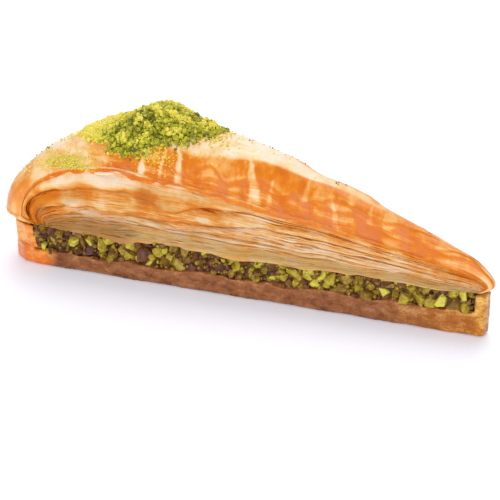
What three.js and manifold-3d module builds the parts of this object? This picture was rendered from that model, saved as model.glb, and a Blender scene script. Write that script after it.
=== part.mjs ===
import * as THREE from 'three';
import { mergeVertices } from 'three/addons/utils/BufferGeometryUtils.js';
import Module from 'manifold-3d';

// A long wedge of pistachio baklava, cut like a spoke from a round tray.
// Millimetres, +Z up, flat underside at z = 0, narrow tip towards +X, first cut face towards -Y.

// The wedge in plan, measured from the centre of the tray
const SLICE_ANGLE = THREE.MathUtils.degToRad(21);
const HALF_ANGLE = SLICE_ANGLE / 2;
const TIP_RADIUS = 15;
const RIM_RADIUS = 172;
const TIP_OVERHANG = 2.5;
const RIM_OVERHANG = 2.3;
const TIP_CORNER = 1.5;
const RIM_CORNER = 9.6;
const BASE_CORNER = 13;
const FILLING_CORNER = 9.2;
const TRAY_CENTRE_X = (RIM_RADIUS + RIM_OVERHANG + TIP_RADIUS - TIP_OVERHANG) / 2;

// Heights of the layers
const FLOOR_AT_TIP = 7.6;
const FLOOR_AT_RIM = 5.2;
const FLOOR_UNEVEN = 0.35;
const WALL_TOP = 13.3;
const TIP_WALL = 2.3;
const RIM_WALL = 7;
const CEILING = 14.15;
const CEILING_UNEVEN = 0.35;
const CLEARANCE = 0.3;
const POCKET_WIDEN = 0.8;

// The puffed top: its ridge and the top edge of its cut faces, at tip, peak and rim nose
const NOSE_HEIGHT = 15.8;
const TIP_NOSE_HEIGHT = 16;
const TIP_ROUNDING = 0.05;
const RIDGE = { tip: 20.4, peak: 44.9, peakAt: 0.69, fall: 2.3, round: 0.62, straight: 0.02 };
const EDGE = { tip: 18.7, peak: 36, peakAt: 0.785, fall: 2, round: 0.45, straight: 0.55 };
const DOME_POWER = 2.7;
const LEAN = 2.1;
const CRUMPLE = 0.5;

// The leaves that show as relief on the cut faces
const LEAVES = 6;
const LEAF_FACE = { from: 0.22, to: 0.8 };
const LEAF_GROOVE = 0.75;
const LEAF_STEP = 0.85;
const LEAF_BACK = 0.7;
const LEAF_SWAY = 0.28;
const FULL_RELIEF_HEIGHT = 11;

// The rounded foot of the bottom pastry
const FOOT = { inset: 0.7, height: 0.6, uneven: 0.5 };

// Chopped nuts between the pastries
const NUT_ROWS = 2;
const NUTS_PER_ROW = 29;
const NUT_RADIUS = { least: 2.0, most: 2.8 };
const NUT_LONG = { least: 0.85, most: 1.25 };
const NUT_SHORT = { least: 0.75, most: 1.05 };
const NUT_JITTER = 0.22;
const CORE_INSET = 2.2;
const NUT_INSET = 1.1;
const NUT_UNEVEN = 0.5;
const NUT_SHIFT = { along: 0.2, up: 0.12 };

// Ground nuts heaped on the wide end
const HEAP = { radius: 130.2, side: -1.5, length: 49, width: 32, height: 6.9 };
const HEAP_SHARPNESS = 1.6;
const HEAP_EDGE = 1.2;
const HEAP_BURY = 5;
const HEAP_MARGIN = 1.08;
const GRAIN_SPACING = 1.75;
const GRAIN_SHIFT = 0.25;
const GRAIN_BUMP = 0.45;

// How finely the outline is divided, along and across, and how far its steps close up at the ends
const ALONG = 44;
const ACROSS = 12;
const CLOSER_AT_ENDS = 0.35;
const SAME_POINT = 1e-4;

let seed = 20417;

function random() {
  seed = (seed + 0x6d2b79f5) | 0;
  let mixed = Math.imul(seed ^ (seed >>> 15), 1 | seed);
  mixed = (mixed + Math.imul(mixed ^ (mixed >>> 7), 61 | mixed)) ^ mixed;
  return ((mixed ^ (mixed >>> 14)) >>> 0) / 4294967296;
}

function between({ least, most }) {
  return least + (most - least) * random();
}

function give(most) {
  return between({ least: -most, most });
}

// Plan of the wedge: u runs from the tip to the rim, v from the first cut face to the second

function cornerCut(v, corner, radius) {
  const halfWidth = radius * Math.sin(HALF_ANGLE);
  const start = 1 - corner / halfWidth;
  const turn = THREE.MathUtils.clamp((Math.abs(v) - start) / (1 - start), 0, 1);
  return corner * (1 - Math.sqrt(1 - turn * turn));
}

function radiusAt(u, v, tip, rim, rimCorner) {
  const near = tip + cornerCut(v, TIP_CORNER, tip);
  const far = rim - cornerCut(v, rimCorner, rim);
  return near + (far - near) * u;
}

function onTray(radius, v) {
  const angle = v * HALF_ANGLE;
  return new THREE.Vector2(TRAY_CENTRE_X - radius * Math.cos(angle), radius * Math.sin(angle));
}

function footOf(u, v) {
  return onTray(radiusAt(u, v, TIP_RADIUS, RIM_RADIUS, BASE_CORNER), v);
}

function shiftInwards(point, v, distance) {
  point.x -= Math.sin(HALF_ANGLE) * distance * Math.abs(v);
  point.y -= Math.cos(HALF_ANGLE) * distance * v;
  return point;
}

// Heights

function alongCut(point) {
  return (TRAY_CENTRE_X - point.x) / Math.cos(HALF_ANGLE);
}

function ripple(point, phase) {
  const along = alongCut(point);
  const side = point.y / (along * Math.sin(HALF_ANGLE));
  return 0.7 * Math.sin(0.31 * along + phase) + 0.3 * side * Math.sin(0.17 * along + 2 * phase);
}

function floorAt(point) {
  const share = (alongCut(point) - TIP_RADIUS) / (RIM_RADIUS - TIP_RADIUS);
  return THREE.MathUtils.lerp(FLOOR_AT_TIP, FLOOR_AT_RIM, share) + FLOOR_UNEVEN * ripple(point, 0.4);
}

function ceilingAt(point) {
  return CEILING + CEILING_UNEVEN * ripple(point, 1.9);
}

function profile(u, line) {
  if (u < line.peakAt) {
    const climb = u / line.peakAt;
    const rise = THREE.MathUtils.lerp(Math.sin((Math.PI / 2) * climb), climb, line.straight);
    const height = line.tip + (line.peak - line.tip) * rise;
    const back = Math.max(0, 1 - u / TIP_ROUNDING);
    return TIP_NOSE_HEIGHT + (height - TIP_NOSE_HEIGHT) * Math.sqrt(1 - back * back);
  }
  const drop = (u - line.peakAt) / (1 - line.peakAt);
  return NOSE_HEIGHT + (line.peak - NOSE_HEIGHT) * (1 - drop ** line.fall) ** line.round;
}

function crumple(u, v) {
  const fade = Math.sin(Math.PI * Math.min(1, 1.15 * u)) ** 0.5;
  const folds = Math.sin(46 * u + 2.2 * v) + 0.7 * Math.sin(29 * u - 5 * v + 0.8);
  return CRUMPLE * fade * (1 - 0.4 * v * v) * folds * 0.6;
}

function leanAt(u) {
  return Math.min(LEAN, 0.9 + 4 * u);
}

function crownPoint(u, v) {
  const tip = TIP_RADIUS - TIP_OVERHANG;
  const rim = RIM_RADIUS + RIM_OVERHANG;
  const plan = shiftInwards(onTray(radiusAt(u, v, tip, rim, RIM_CORNER), v), v, leanAt(u));
  const edge = profile(u, EDGE);
  const dome = 1 - Math.abs(v) ** DOME_POWER;
  const height = edge + (profile(u, RIDGE) - edge) * dome + crumple(u, v);
  return new THREE.Vector3(plan.x, plan.y, height);
}

// Places round the outline, clockwise from above: first cut face, rim, second cut face, tip

function alongAt(step) {
  const even = step / ALONG;
  return THREE.MathUtils.lerp(even, (1 - Math.cos(Math.PI * even)) / 2, CLOSER_AT_ENDS);
}

function acrossAt(step) {
  return Math.sin((Math.PI / 2) * ((2 * step) / ACROSS - 1));
}

function outlineSteps() {
  const steps = [];
  for (let i = 0; i < ALONG; i += 1) steps.push([i, 0]);
  for (let j = 0; j < ACROSS; j += 1) steps.push([ALONG, j]);
  for (let i = ALONG; i > 0; i -= 1) steps.push([i, ACROSS]);
  for (let j = ACROSS; j > 0; j -= 1) steps.push([0, j]);
  return steps;
}

const OUTLINE = outlineSteps();

function ringOf(place) {
  return OUTLINE.map(([i, j]) => place(alongAt(i), acrossAt(j)));
}

function pushOut(ring, distanceAt) {
  return ring.map((point, place) => {
    const before = ring[(place + ring.length - 1) % ring.length];
    const after = ring[(place + 1) % ring.length];
    const outward = new THREE.Vector3(before.y - after.y, after.x - before.x, 0).normalize();
    return point.clone().addScaledVector(outward, distanceAt(point, place));
  });
}

// A closed solid from rings stacked upwards, with a plain lid or a domed one

function loft(rings, domeAt = null) {
  const positions = [];
  const index = [];
  const add = (point) => positions.push(point.x, point.y, point.z) / 3 - 1;
  const face = (a, b, c, d) => index.push(a, b, c, a, c, d);
  const rows = rings.map((ring) => ring.map(add));
  const count = OUTLINE.length;
  for (let row = 0; row + 1 < rows.length; row += 1) {
    for (let k = 0; k < count; k += 1) {
      const next = (k + 1) % count;
      face(rows[row][k], rows[row + 1][k], rows[row + 1][next], rows[row][next]);
    }
  }
  const corner = (row, i, j) => row[OUTLINE.findIndex(([a, b]) => a === i && b === j)];
  const coverPlainly = (row, quad) => {
    for (let i = 0; i < ALONG; i += 1) {
      quad(corner(row, i, 0), corner(row, i + 1, 0), corner(row, i + 1, ACROSS), corner(row, i, ACROSS));
    }
    for (let j = 1; j < ACROSS; j += 1) {
      quad(corner(row, ALONG, 0), corner(row, ALONG, j), corner(row, ALONG, j + 1), null);
      quad(corner(row, 0, 0), null, corner(row, 0, j + 1), corner(row, 0, j));
    }
  };
  const upwards = (a, b, c, d) => addPolygon(index, [d, c, b, a]);
  const downwards = (a, b, c, d) => addPolygon(index, [a, b, c, d]);
  coverPlainly(rows[0], downwards);
  const last = rows[rows.length - 1];
  if (domeAt === null) {
    coverPlainly(last, upwards);
  } else {
    const inner = (i, j) => i > 0 && i < ALONG && j > 0 && j < ACROSS;
    const grid = [];
    for (let i = 0; i <= ALONG; i += 1) {
      grid.push([]);
      for (let j = 0; j <= ACROSS; j += 1) {
        grid[i].push(inner(i, j) ? add(domeAt(alongAt(i), acrossAt(j))) : corner(last, i, j));
      }
    }
    for (let i = 0; i < ALONG; i += 1) {
      for (let j = 0; j < ACROSS; j += 1) {
        face(grid[i][j], grid[i][j + 1], grid[i + 1][j + 1], grid[i + 1][j]);
      }
    }
  }
  return solidFrom(positions, index);
}

function addPolygon(index, corners) {
  const used = corners.filter((corner) => corner !== null);
  for (let k = 1; k + 1 < used.length; k += 1) index.push(used[0], used[k], used[k + 1]);
}

// Between triangles and solids

const wasm = await Module();
wasm.setup();

function solidFrom(positions, index) {
  return new wasm.Manifold(new wasm.Mesh({
    numProp: 3,
    vertProperties: new Float32Array(positions),
    triVerts: new Uint32Array(index),
  }));
}

function solidFromGeometry(geometry) {
  return solidFrom(Array.from(geometry.attributes.position.array), Array.from(geometry.index.array));
}

function meshFrom(solid, name, look) {
  const { vertProperties, triVerts } = solid.getMesh();
  const geometry = new THREE.BufferGeometry();
  geometry.setAttribute('position', new THREE.BufferAttribute(vertProperties, 3));
  geometry.setIndex(new THREE.BufferAttribute(triVerts, 1));
  geometry.computeVertexNormals();
  const mesh = new THREE.Mesh(geometry, new THREE.MeshStandardMaterial(look));
  mesh.name = name;
  return mesh;
}

function largestPiece(solid) {
  return solid.decompose().sort((a, b) => b.volume() - a.volume())[0];
}

// Bottom pastry: a dense floor that turns up at the rim and, thinly, at the tip

function makeBasePastry() {
  const plan = (height) => (u, v) => {
    const point = footOf(u, v);
    return new THREE.Vector3(point.x, point.y, height);
  };
  const inset = (point) => -FOOT.inset * (1 + FOOT.uneven * ripple(point, 3));
  const underside = pushOut(ringOf(plan(0)), inset);
  const rings = [underside, ringOf(plan(FOOT.height)), ringOf(plan(WALL_TOP))];
  return loft(rings).subtract(makePocket(0, POCKET_WIDEN, 2 * WALL_TOP));
}

// The space between floor and ceiling, short of the tip wall and the rim wall by the given gap

function pocketPoint(u, v, gap) {
  const near = TIP_RADIUS + TIP_WALL + gap;
  const far = RIM_RADIUS - RIM_WALL - cornerCut(v, FILLING_CORNER, RIM_RADIUS) - gap;
  return onTray(near + (far - near) * u, v);
}

function makePocket(gap, widen, top) {
  const place = (heightAt) => (u, v) => {
    const point = pocketPoint(u, v, gap);
    point.y += widen * v;
    return new THREE.Vector3(point.x, point.y, heightAt(point));
  };
  const bottom = ringOf(place((point) => floorAt(point) + gap));
  const lid = top === null ? (point) => ceilingAt(point) - gap : () => top;
  return loft([bottom, ringOf(place(lid))]);
}

// Filling: a core set back from the cut faces, with chopped nuts standing out of it

function makeNut(radius) {
  const geometry = new THREE.IcosahedronGeometry(radius, 0);
  geometry.deleteAttribute('normal');
  geometry.deleteAttribute('uv');
  const nut = mergeVertices(geometry, SAME_POINT);
  const corners = nut.attributes.position;
  const stretch = new THREE.Vector3(between(NUT_LONG), between(NUT_SHORT), between(NUT_SHORT));
  for (let k = 0; k < corners.count; k += 1) {
    const corner = new THREE.Vector3().fromBufferAttribute(corners, k).multiplyScalar(1 + give(NUT_JITTER));
    corners.setXYZ(k, ...corner.multiply(stretch));
  }
  const turn = new THREE.Euler(give(Math.PI), give(Math.PI), give(Math.PI));
  return nut.applyMatrix4(new THREE.Matrix4().makeRotationFromEuler(turn));
}

function keepInPocket(nut) {
  const corners = nut.attributes.position;
  const near = (TIP_RADIUS + TIP_WALL + CLEARANCE) / Math.cos(HALF_ANGLE);
  const far = RIM_RADIUS - RIM_WALL - FILLING_CORNER - CLEARANCE;
  for (let k = 0; k < corners.count; k += 1) {
    const corner = new THREE.Vector3().fromBufferAttribute(corners, k);
    const along = THREE.MathUtils.clamp(alongCut(corner), near, far);
    corner.x = TRAY_CENTRE_X - along * Math.cos(HALF_ANGLE);
    corner.z = THREE.MathUtils.clamp(corner.z, floorAt(corner) + CLEARANCE, ceilingAt(corner) - CLEARANCE);
    corners.setXYZ(k, ...corner);
  }
}

function makeFilling() {
  let filling = makePocket(CLEARANCE, -CORE_INSET, null);
  for (const side of [-1, 1]) {
    for (let row = 0; row < NUT_ROWS; row += 1) {
      for (let k = 0; k < NUTS_PER_ROW; k += 1) {
        const nut = makeNut(between(NUT_RADIUS));
        const u = (k + row / NUT_ROWS + give(NUT_SHIFT.along)) / (NUTS_PER_ROW - 1 / NUT_ROWS);
        const share = (row + 0.5 + give(NUT_SHIFT.up)) / NUT_ROWS;
        const inset = NUT_INSET + give(NUT_UNEVEN);
        const place = shiftInwards(pocketPoint(u, side, NUT_RADIUS.least), side, inset);
        nut.translate(place.x, place.y, THREE.MathUtils.lerp(floorAt(place), ceilingAt(place), share));
        keepInPocket(nut);
        filling = filling.add(solidFromGeometry(nut));
      }
    }
  }
  return largestPiece(filling);
}

// Top pastry: leaves stacked up to the cut's top edge, under a domed and crumpled crust

function leafWave(leaf, point) {
  const long = Math.sin(0.085 * point.x + 0.3 * point.y + 2.1 * leaf);
  const short = Math.sin(0.24 * point.x - 0.2 * point.y + 3.7 * leaf);
  return 0.6 * long + 0.4 * short;
}

function wallPoint(u, v, rise) {
  const foot = footOf(u, v);
  const crown = crownPoint(u, v);
  const outwards = Math.sin((Math.PI / 2) * rise);
  return new THREE.Vector3(
    THREE.MathUtils.lerp(foot.x, crown.x, outwards),
    THREE.MathUtils.lerp(foot.y, crown.y, outwards),
    THREE.MathUtils.lerp(ceilingAt(foot), crown.z, rise),
  );
}

function makeTopPastry() {
  const reliefs = ringOf((u, v) => Math.min(1, (crownPoint(u, v).z - CEILING) / FULL_RELIEF_HEIGHT) ** 1.5);
  const leafRing = (leaf, share, stepOut) => {
    const ring = ringOf((u, v) => {
      const wave = leaf === 0 ? 0 : leafWave(leaf + 0.5, wallPoint(u, v, leaf / LEAVES));
      return wallPoint(u, v, (leaf + share + LEAF_SWAY * wave * (1 - share)) / LEAVES);
    });
    return pushOut(ring, (point, place) => reliefs[place] * stepOut(point));
  };
  const rings = [leafRing(0, 0, () => 0)];
  for (let leaf = 0; leaf < LEAVES; leaf += 1) {
    if (leaf > 0) rings.push(leafRing(leaf, 0, () => -LEAF_GROOVE));
    rings.push(leafRing(leaf, LEAF_FACE.from, (point) => LEAF_STEP * leafWave(leaf, point)));
    rings.push(leafRing(leaf, LEAF_FACE.to, (point) => LEAF_BACK * LEAF_STEP * leafWave(leaf, point)));
  }
  rings.push(ringOf(crownPoint));
  return loft(rings, crownPoint);
}

// Ground nuts: a lumpy mound whose underside follows the crust

function crustHeight(x, y) {
  const radius = Math.hypot(TRAY_CENTRE_X - x, y);
  const near = TIP_RADIUS - TIP_OVERHANG;
  const u = (radius - near) / (RIM_RADIUS + RIM_OVERHANG - near);
  const halfWidth = radius * Math.sin(HALF_ANGLE) - leanAt(u) * Math.cos(HALF_ANGLE);
  return crownPoint(u, THREE.MathUtils.clamp(y / halfWidth, -1, 1)).z;
}

function heapSurface(x, y) {
  const angle = Math.atan2(y / HEAP.width, x / HEAP.length);
  const lobes = 1 + 0.05 * Math.sin(3 * angle + 1) + 0.04 * Math.sin(7 * angle);
  const reach = (2 * Math.hypot(x / HEAP.length, y / HEAP.width)) / lobes;
  return Math.max((HEAP.height + HEAP_EDGE) * (1 - reach ** HEAP_SHARPNESS) - HEAP_EDGE, -HEAP_BURY / 2);
}

function makeHeap(crust) {
  const centre = onTray(HEAP.radius, 0);
  const columns = Math.ceil((HEAP_MARGIN * HEAP.length) / GRAIN_SPACING);
  const rows = Math.ceil((HEAP_MARGIN * HEAP.width) / GRAIN_SPACING);
  const positions = [];
  const index = [];
  const at = (i, j, below) => 2 * (i * (rows + 1) + j) + below;
  for (let i = 0; i <= columns; i += 1) {
    for (let j = 0; j <= rows; j += 1) {
      const x = (i - columns / 2 + give(GRAIN_SHIFT)) * GRAIN_SPACING;
      const y = (j - rows / 2 + give(GRAIN_SHIFT)) * GRAIN_SPACING;
      const crustTop = crustHeight(centre.x + x, HEAP.side + y);
      positions.push(centre.x + x, HEAP.side + y, crustTop + heapSurface(x, y) + give(GRAIN_BUMP));
      positions.push(centre.x + x, HEAP.side + y, crustTop - HEAP_BURY);
    }
  }
  const cover = (below, a, b, c, d) => {
    const corners = below ? [d, c, b, a] : [a, b, c, d];
    addPolygon(index, corners.map(([i, j]) => at(i, j, below)));
  };
  const wall = (a, b) => addPolygon(index, [at(...a, 0), at(...a, 1), at(...b, 1), at(...b, 0)]);
  for (let i = 0; i < columns; i += 1) {
    for (let j = 0; j < rows; j += 1) {
      cover(0, [i, j], [i + 1, j], [i + 1, j + 1], [i, j + 1]);
      cover(1, [i, j], [i + 1, j], [i + 1, j + 1], [i, j + 1]);
    }
    wall([i, 0], [i + 1, 0]);
    wall([i + 1, rows], [i, rows]);
  }
  for (let j = 0; j < rows; j += 1) {
    wall([columns, j], [columns, j + 1]);
    wall([0, j + 1], [0, j]);
  }
  return largestPiece(solidFrom(positions, index).subtract(crust.translate([0, 0, CLEARANCE])));
}

const topPastry = makeTopPastry();
const syrupy = { roughness: 0.35, metalness: 0 };
const nutty = { roughness: 0.8, metalness: 0 };

const slice = new THREE.Group();
slice.add(meshFrom(makeBasePastry(), 'base_pastry', { color: 0xb87436, ...syrupy }));
slice.add(meshFrom(makeFilling(), 'pistachio_filling', { color: 0x9a9a36, ...nutty }));
slice.add(meshFrom(topPastry, 'upper_pastry', { color: 0xe09a4c, ...syrupy }));
slice.add(meshFrom(makeHeap(topPastry), 'ground_pistachio', { color: 0xa8a832, ...nutty }));

export default slice;
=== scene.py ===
"""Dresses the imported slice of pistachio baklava: browned crust, flaky leaves, nuts, crumbs and light."""

import itertools
import logging
import math
from contextlib import contextmanager
from dataclasses import dataclass, field
from enum import Enum
from typing import Any, Callable, Iterator, Sequence

import bpy
import numpy as np
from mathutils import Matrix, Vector


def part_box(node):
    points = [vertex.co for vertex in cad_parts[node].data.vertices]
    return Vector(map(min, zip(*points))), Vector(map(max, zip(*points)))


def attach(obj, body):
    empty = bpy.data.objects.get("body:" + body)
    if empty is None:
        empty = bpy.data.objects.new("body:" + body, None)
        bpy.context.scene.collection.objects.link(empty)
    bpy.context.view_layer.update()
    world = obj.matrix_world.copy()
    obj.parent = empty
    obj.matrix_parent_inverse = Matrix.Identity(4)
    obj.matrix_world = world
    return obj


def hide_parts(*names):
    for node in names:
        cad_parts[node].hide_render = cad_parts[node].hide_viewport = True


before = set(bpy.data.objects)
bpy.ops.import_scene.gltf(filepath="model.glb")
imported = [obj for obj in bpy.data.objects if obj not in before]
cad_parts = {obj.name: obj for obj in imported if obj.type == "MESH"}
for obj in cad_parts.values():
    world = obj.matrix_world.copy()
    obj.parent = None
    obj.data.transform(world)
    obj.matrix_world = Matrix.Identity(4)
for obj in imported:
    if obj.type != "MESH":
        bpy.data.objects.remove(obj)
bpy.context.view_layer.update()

LOG = logging.getLogger("baklava")
MM = 0.001
UP = np.array([0.0, 0.0, 1.0])

Pair = tuple[float, float]
Array = np.ndarray
Plan = tuple[Array, Array]
Piece = bpy.types.Object
Socket = bpy.types.NodeSocket
Chance = np.random.Generator
Colour = tuple[float, float, float, float]
Stops = tuple[tuple[float, Colour], ...]
Varying = tuple[Socket, Socket, Socket]


class Side(Enum):
    """The two long cut faces of the slice."""

    NEAR = -1.0
    FAR = 1.0


class Layer(Enum):
    """How far a leaf is baked and soaked, which decides its finish."""

    SOAKED = "soaked"
    PALE = "pale"
    BROWNED = "browned"


# Small helpers for numbers


def blend(start: Any, end: Any, share: Any) -> Any:
    """Returns the value that lies the given share of the way from start to end."""
    return start + (end - start) * share


def ease(share: Any) -> Any:
    """Returns a share from 0 to 1 that starts and ends gently."""
    return share * share * (3.0 - 2.0 * share)


def ramp(value: Any, low: float, high: float) -> Array:
    """Returns 0 below low, 1 above high and a smooth rise between them."""
    return ease(np.clip((np.asarray(value, float) - low) / (high - low), 0.0, 1.0))


def bell(away: Any, width: float) -> Array:
    """Returns 1 where away is 0 and a smooth fall towards 0 on both sides of it."""
    return np.exp(-((away / width) ** 2))


def crowded(share: Array, amount: float) -> Array:
    """Returns even shares from 0 to 1 moved closer together at both ends."""
    return blend(share, 0.5 - 0.5 * np.cos(math.pi * share), amount)


def as_rows(x: Any, y: Any, z: Any) -> Array:
    """Returns one row of x, y and z for each point."""
    return np.stack(np.broadcast_arrays(x, y, z), axis=-1)


def colour(red: int, green: int, blue: int) -> Colour:
    """Returns the linear colour of a colour given as 0 to 255 screen values."""
    parts = []
    for part in (red, green, blue):
        share = part / 255.0
        parts.append(share / 12.92 if share <= 0.04045 else ((share + 0.055) / 1.055) ** 2.4)
    return (parts[0], parts[1], parts[2], 1.0)


def colour_stops(*rows: tuple[float, int, int, int]) -> Stops:
    """Returns the stops of a colour ramp, each from a place and three 0 to 255 screen values."""
    return tuple((place, colour(red, green, blue)) for place, red, green, blue in rows)


class SmoothNoise:
    """Seeded smooth random values from -1 to 1 over one, two or three coordinates."""

    CORNERS = 4096
    FIRST_MIX = 1013
    MIX = 31
    FACTORS = (73856093, 19349663, 83492791)
    COPY_SHIFT = 17.3

    def __init__(self, seed: int) -> None:
        """Draws the random values of the lattice corners from the seed."""
        self.values = np.random.default_rng(seed).uniform(-1.0, 1.0, self.CORNERS)

    def corner(self, cells: Sequence[Array]) -> Array:
        """Returns the random values of lattice corners.

        Args:
            cells: whole-number coordinates, one array for each axis.

        Returns:
            One value from -1 to 1 for each corner.
        """
        mixed = np.full(cells[0].shape, self.FIRST_MIX, dtype=np.int64)
        for cell, factor in zip(cells, self.FACTORS):
            mixed = (mixed * self.MIX) ^ (cell * factor)
            mixed = mixed ^ (mixed >> 13)
        return self.values[mixed % self.CORNERS]

    def __call__(self, *places: Any) -> Array:
        """Returns the smooth value at each place.

        Args:
            places: coordinates in lattice steps, one array for each axis.

        Returns:
            Values from -1 to 1.
        """
        axes = np.broadcast_arrays(*[np.asarray(place, float) for place in places])
        cells = [np.floor(axis).astype(np.int64) for axis in axes]
        shares = [ease(axis - np.floor(axis)) for axis in axes]
        total = np.zeros(axes[0].shape)
        for ends in itertools.product((0, 1), repeat=len(axes)):
            weight = np.ones(axes[0].shape)
            for end, share in zip(ends, shares):
                weight = weight * (share if end else 1.0 - share)
            total += weight * self.corner([cell + end for cell, end in zip(cells, ends)])
        return total

    def rough(self, octaves: int, *places: Any) -> Array:
        """Returns the sum of ever finer and weaker copies of the noise.

        Args:
            octaves: number of copies, each twice as fine as the last.
            places: coordinates in lattice steps of the coarsest copy.

        Returns:
            Values of about -1 to 1.
        """
        total = 0.0
        for level in range(octaves):
            step = 2.0**level
            finer = [np.asarray(place) * step + self.COPY_SHIFT * level for place in places]
            total = total + self(*finer) / step
        return total / 1.5


# Small helpers for meshes


def deselect() -> None:
    """Deselects every object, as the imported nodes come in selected."""
    bpy.ops.object.select_all(action="DESELECT")


def activate(piece: Piece) -> None:
    """Makes a piece the only selected object and the active one."""
    deselect()
    piece.select_set(True)
    bpy.context.view_layer.objects.active = piece


@contextmanager
def editing(piece: Piece) -> Iterator[None]:
    """Opens a piece in edit mode with all of it selected, and closes it afterwards."""
    activate(piece)
    bpy.ops.object.mode_set(mode="EDIT")
    bpy.ops.mesh.select_all(action="SELECT")
    yield
    bpy.ops.object.mode_set(mode="OBJECT")


def place_object(name: str, data: bpy.types.ID) -> Piece:
    """Puts a mesh, camera or light into the scene under a name."""
    placed = bpy.data.objects.new(name, data)
    bpy.context.scene.collection.objects.link(placed)
    return placed


def read_rows(piece: Piece, name: str) -> Array:
    """Returns a property of three numbers of the piece's points, one row for each."""
    rows = np.empty(len(piece.data.vertices) * 3, dtype=np.float32)
    piece.data.vertices.foreach_get(name, rows)
    return rows.reshape(-1, 3).astype(float)


def read_points(piece: Piece) -> Array:
    """Returns the piece's points in millimetres, one row for each."""
    return read_rows(piece, "co") / MM


def write_points(piece: Piece, points: Array) -> None:
    """Moves the piece's points to the given places in millimetres."""
    piece.data.vertices.foreach_set("co", (points * MM).astype(np.float32).ravel())
    piece.data.update()


def paint(piece: Piece, **layers: Any) -> None:
    """Writes values from 0 to 1 for each point, which the finishes read by their names."""
    for name, values in layers.items():
        layer = piece.data.attributes.get(name) or piece.data.attributes.new(name, "FLOAT", "POINT")
        each = np.broadcast_to(np.clip(values, 0.0, 1.0), len(piece.data.vertices))
        layer.data.foreach_set("value", each.astype(np.float32))


def read_paint(piece: Piece, name: str) -> Array:
    """Returns the values painted under a name, one for each point."""
    values = np.empty(len(piece.data.vertices), dtype=np.float32)
    piece.data.attributes[name].data.foreach_get("value", values)
    return values


def grid_sheet(name: str, columns: int, rows: int) -> tuple[Piece, Array, Array]:
    """Adds a flat grid that is bent into a sheet later.

    Args:
        name: the piece's name.
        columns: number of faces along the first direction.
        rows: number of faces along the second direction.

    Returns:
        The piece and the whole-number column and row of each of its points.
    """
    deselect()
    bpy.ops.mesh.primitive_grid_add(x_subdivisions=columns, y_subdivisions=rows, size=2.0 * MM)
    sheet = bpy.context.active_object
    sheet.name = name
    points = read_points(sheet)
    column = np.rint((points[:, 0] + 1.0) / 2.0 * columns).astype(int)
    row = np.rint((points[:, 1] + 1.0) / 2.0 * rows).astype(int)
    return sheet, column, row


def turn_outward(sheet: Piece, outward: Array) -> None:
    """Turns an open sheet over where its faces point away from outward.

    Args:
        sheet: the open sheet.
        outward: the direction that each point's normal must roughly follow.
    """
    if float(np.sum(read_rows(sheet, "normal") * outward)) > 0.0:
        return
    with editing(sheet):
        bpy.ops.mesh.flip_normals()


def apply_modifier(piece: Piece, kind: str, **settings: Any) -> None:
    """Gives a piece a modifier with the given settings and applies it."""
    activate(piece)
    modifier = piece.modifiers.new(kind.lower(), kind)
    for name, value in settings.items():
        setattr(modifier, name, value)
    bpy.ops.object.modifier_apply(modifier=modifier.name)


def thicken(sheet: Piece, thickness: float) -> None:
    """Gives an open sheet its thickness in millimetres, inward from its face."""
    apply_modifier(sheet, "SOLIDIFY", thickness=thickness * MM, offset=-1.0, use_even_offset=False)


def smooth(piece: Piece, degrees: float) -> None:
    """Shades a piece smooth except across edges sharper than the angle."""
    activate(piece)
    bpy.ops.object.shade_smooth_by_angle(angle=math.radians(degrees), keep_sharp_edges=False)


def join(pieces: Sequence[Piece], name: str) -> Piece:
    """Joins pieces of one kind into one object.

    Args:
        pieces: the objects, which the first one takes in.
        name: the name of the joined piece.

    Returns:
        The joined piece.
    """
    activate(pieces[0])
    for piece in pieces:
        piece.select_set(True)
    bpy.ops.object.join()
    joined = bpy.context.view_layer.objects.active
    joined.name = name
    joined.data.name = name
    return joined


def close_tube(tube: Piece, gap: float = 0.01) -> None:
    """Merges the seam of a rolled grid, caps its ends and turns its faces outward."""
    with editing(tube):
        bpy.ops.mesh.remove_doubles(threshold=gap * MM)
        bpy.ops.mesh.select_all(action="SELECT")
        bpy.ops.mesh.fill_holes(sides=0)
        bpy.ops.mesh.select_all(action="SELECT")
        bpy.ops.mesh.normals_make_consistent(inside=False)


def finish_piece(piece: Piece, material: bpy.types.Material, node: str) -> None:
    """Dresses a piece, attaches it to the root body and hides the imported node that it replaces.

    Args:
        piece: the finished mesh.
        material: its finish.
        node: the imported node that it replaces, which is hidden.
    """
    piece.data.materials.clear()
    piece.data.materials.append(material)
    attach(piece, "root")
    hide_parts(node)
    piece.data.calc_loop_triangles()
    LOG.info("%s: %d triangles", piece.name, len(piece.data.loop_triangles))


# The shape of the slice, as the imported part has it


@dataclass(frozen=True)
class CrownLine:
    """Height of the crown along the slice, in millimetres from tip to rim."""

    tip: float
    peak: float
    peak_at: float
    fall: float
    bluntness: float
    straight: float

    def height(self, u: Array, tip_nose: float, rim_nose: float, rounding: float) -> Array:
        """Returns the height at each share of the way from tip to rim.

        Args:
            u: share of the way, 0 at the tip and 1 at the rim.
            tip_nose: height at which the crown ends at the tip.
            rim_nose: height at which the crown ends at the rim.
            rounding: share of the way over which the tip is rounded.

        Returns:
            Heights in millimetres.
        """
        climb = np.clip(u / self.peak_at, 0.0, 1.0)
        rise = blend(np.sin(math.pi / 2.0 * climb), climb, self.straight)
        front = self.tip + (self.peak - self.tip) * rise
        back = np.clip(1.0 - u / rounding, 0.0, 1.0)
        front = tip_nose + (front - tip_nose) * np.sqrt(1.0 - back * back)
        drop = np.clip((u - self.peak_at) / (1.0 - self.peak_at), 0.0, 1.0)
        rear = rim_nose + (self.peak - rim_nose) * (1.0 - drop**self.fall) ** self.bluntness
        return np.where(u < self.peak_at, front, rear)


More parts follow.
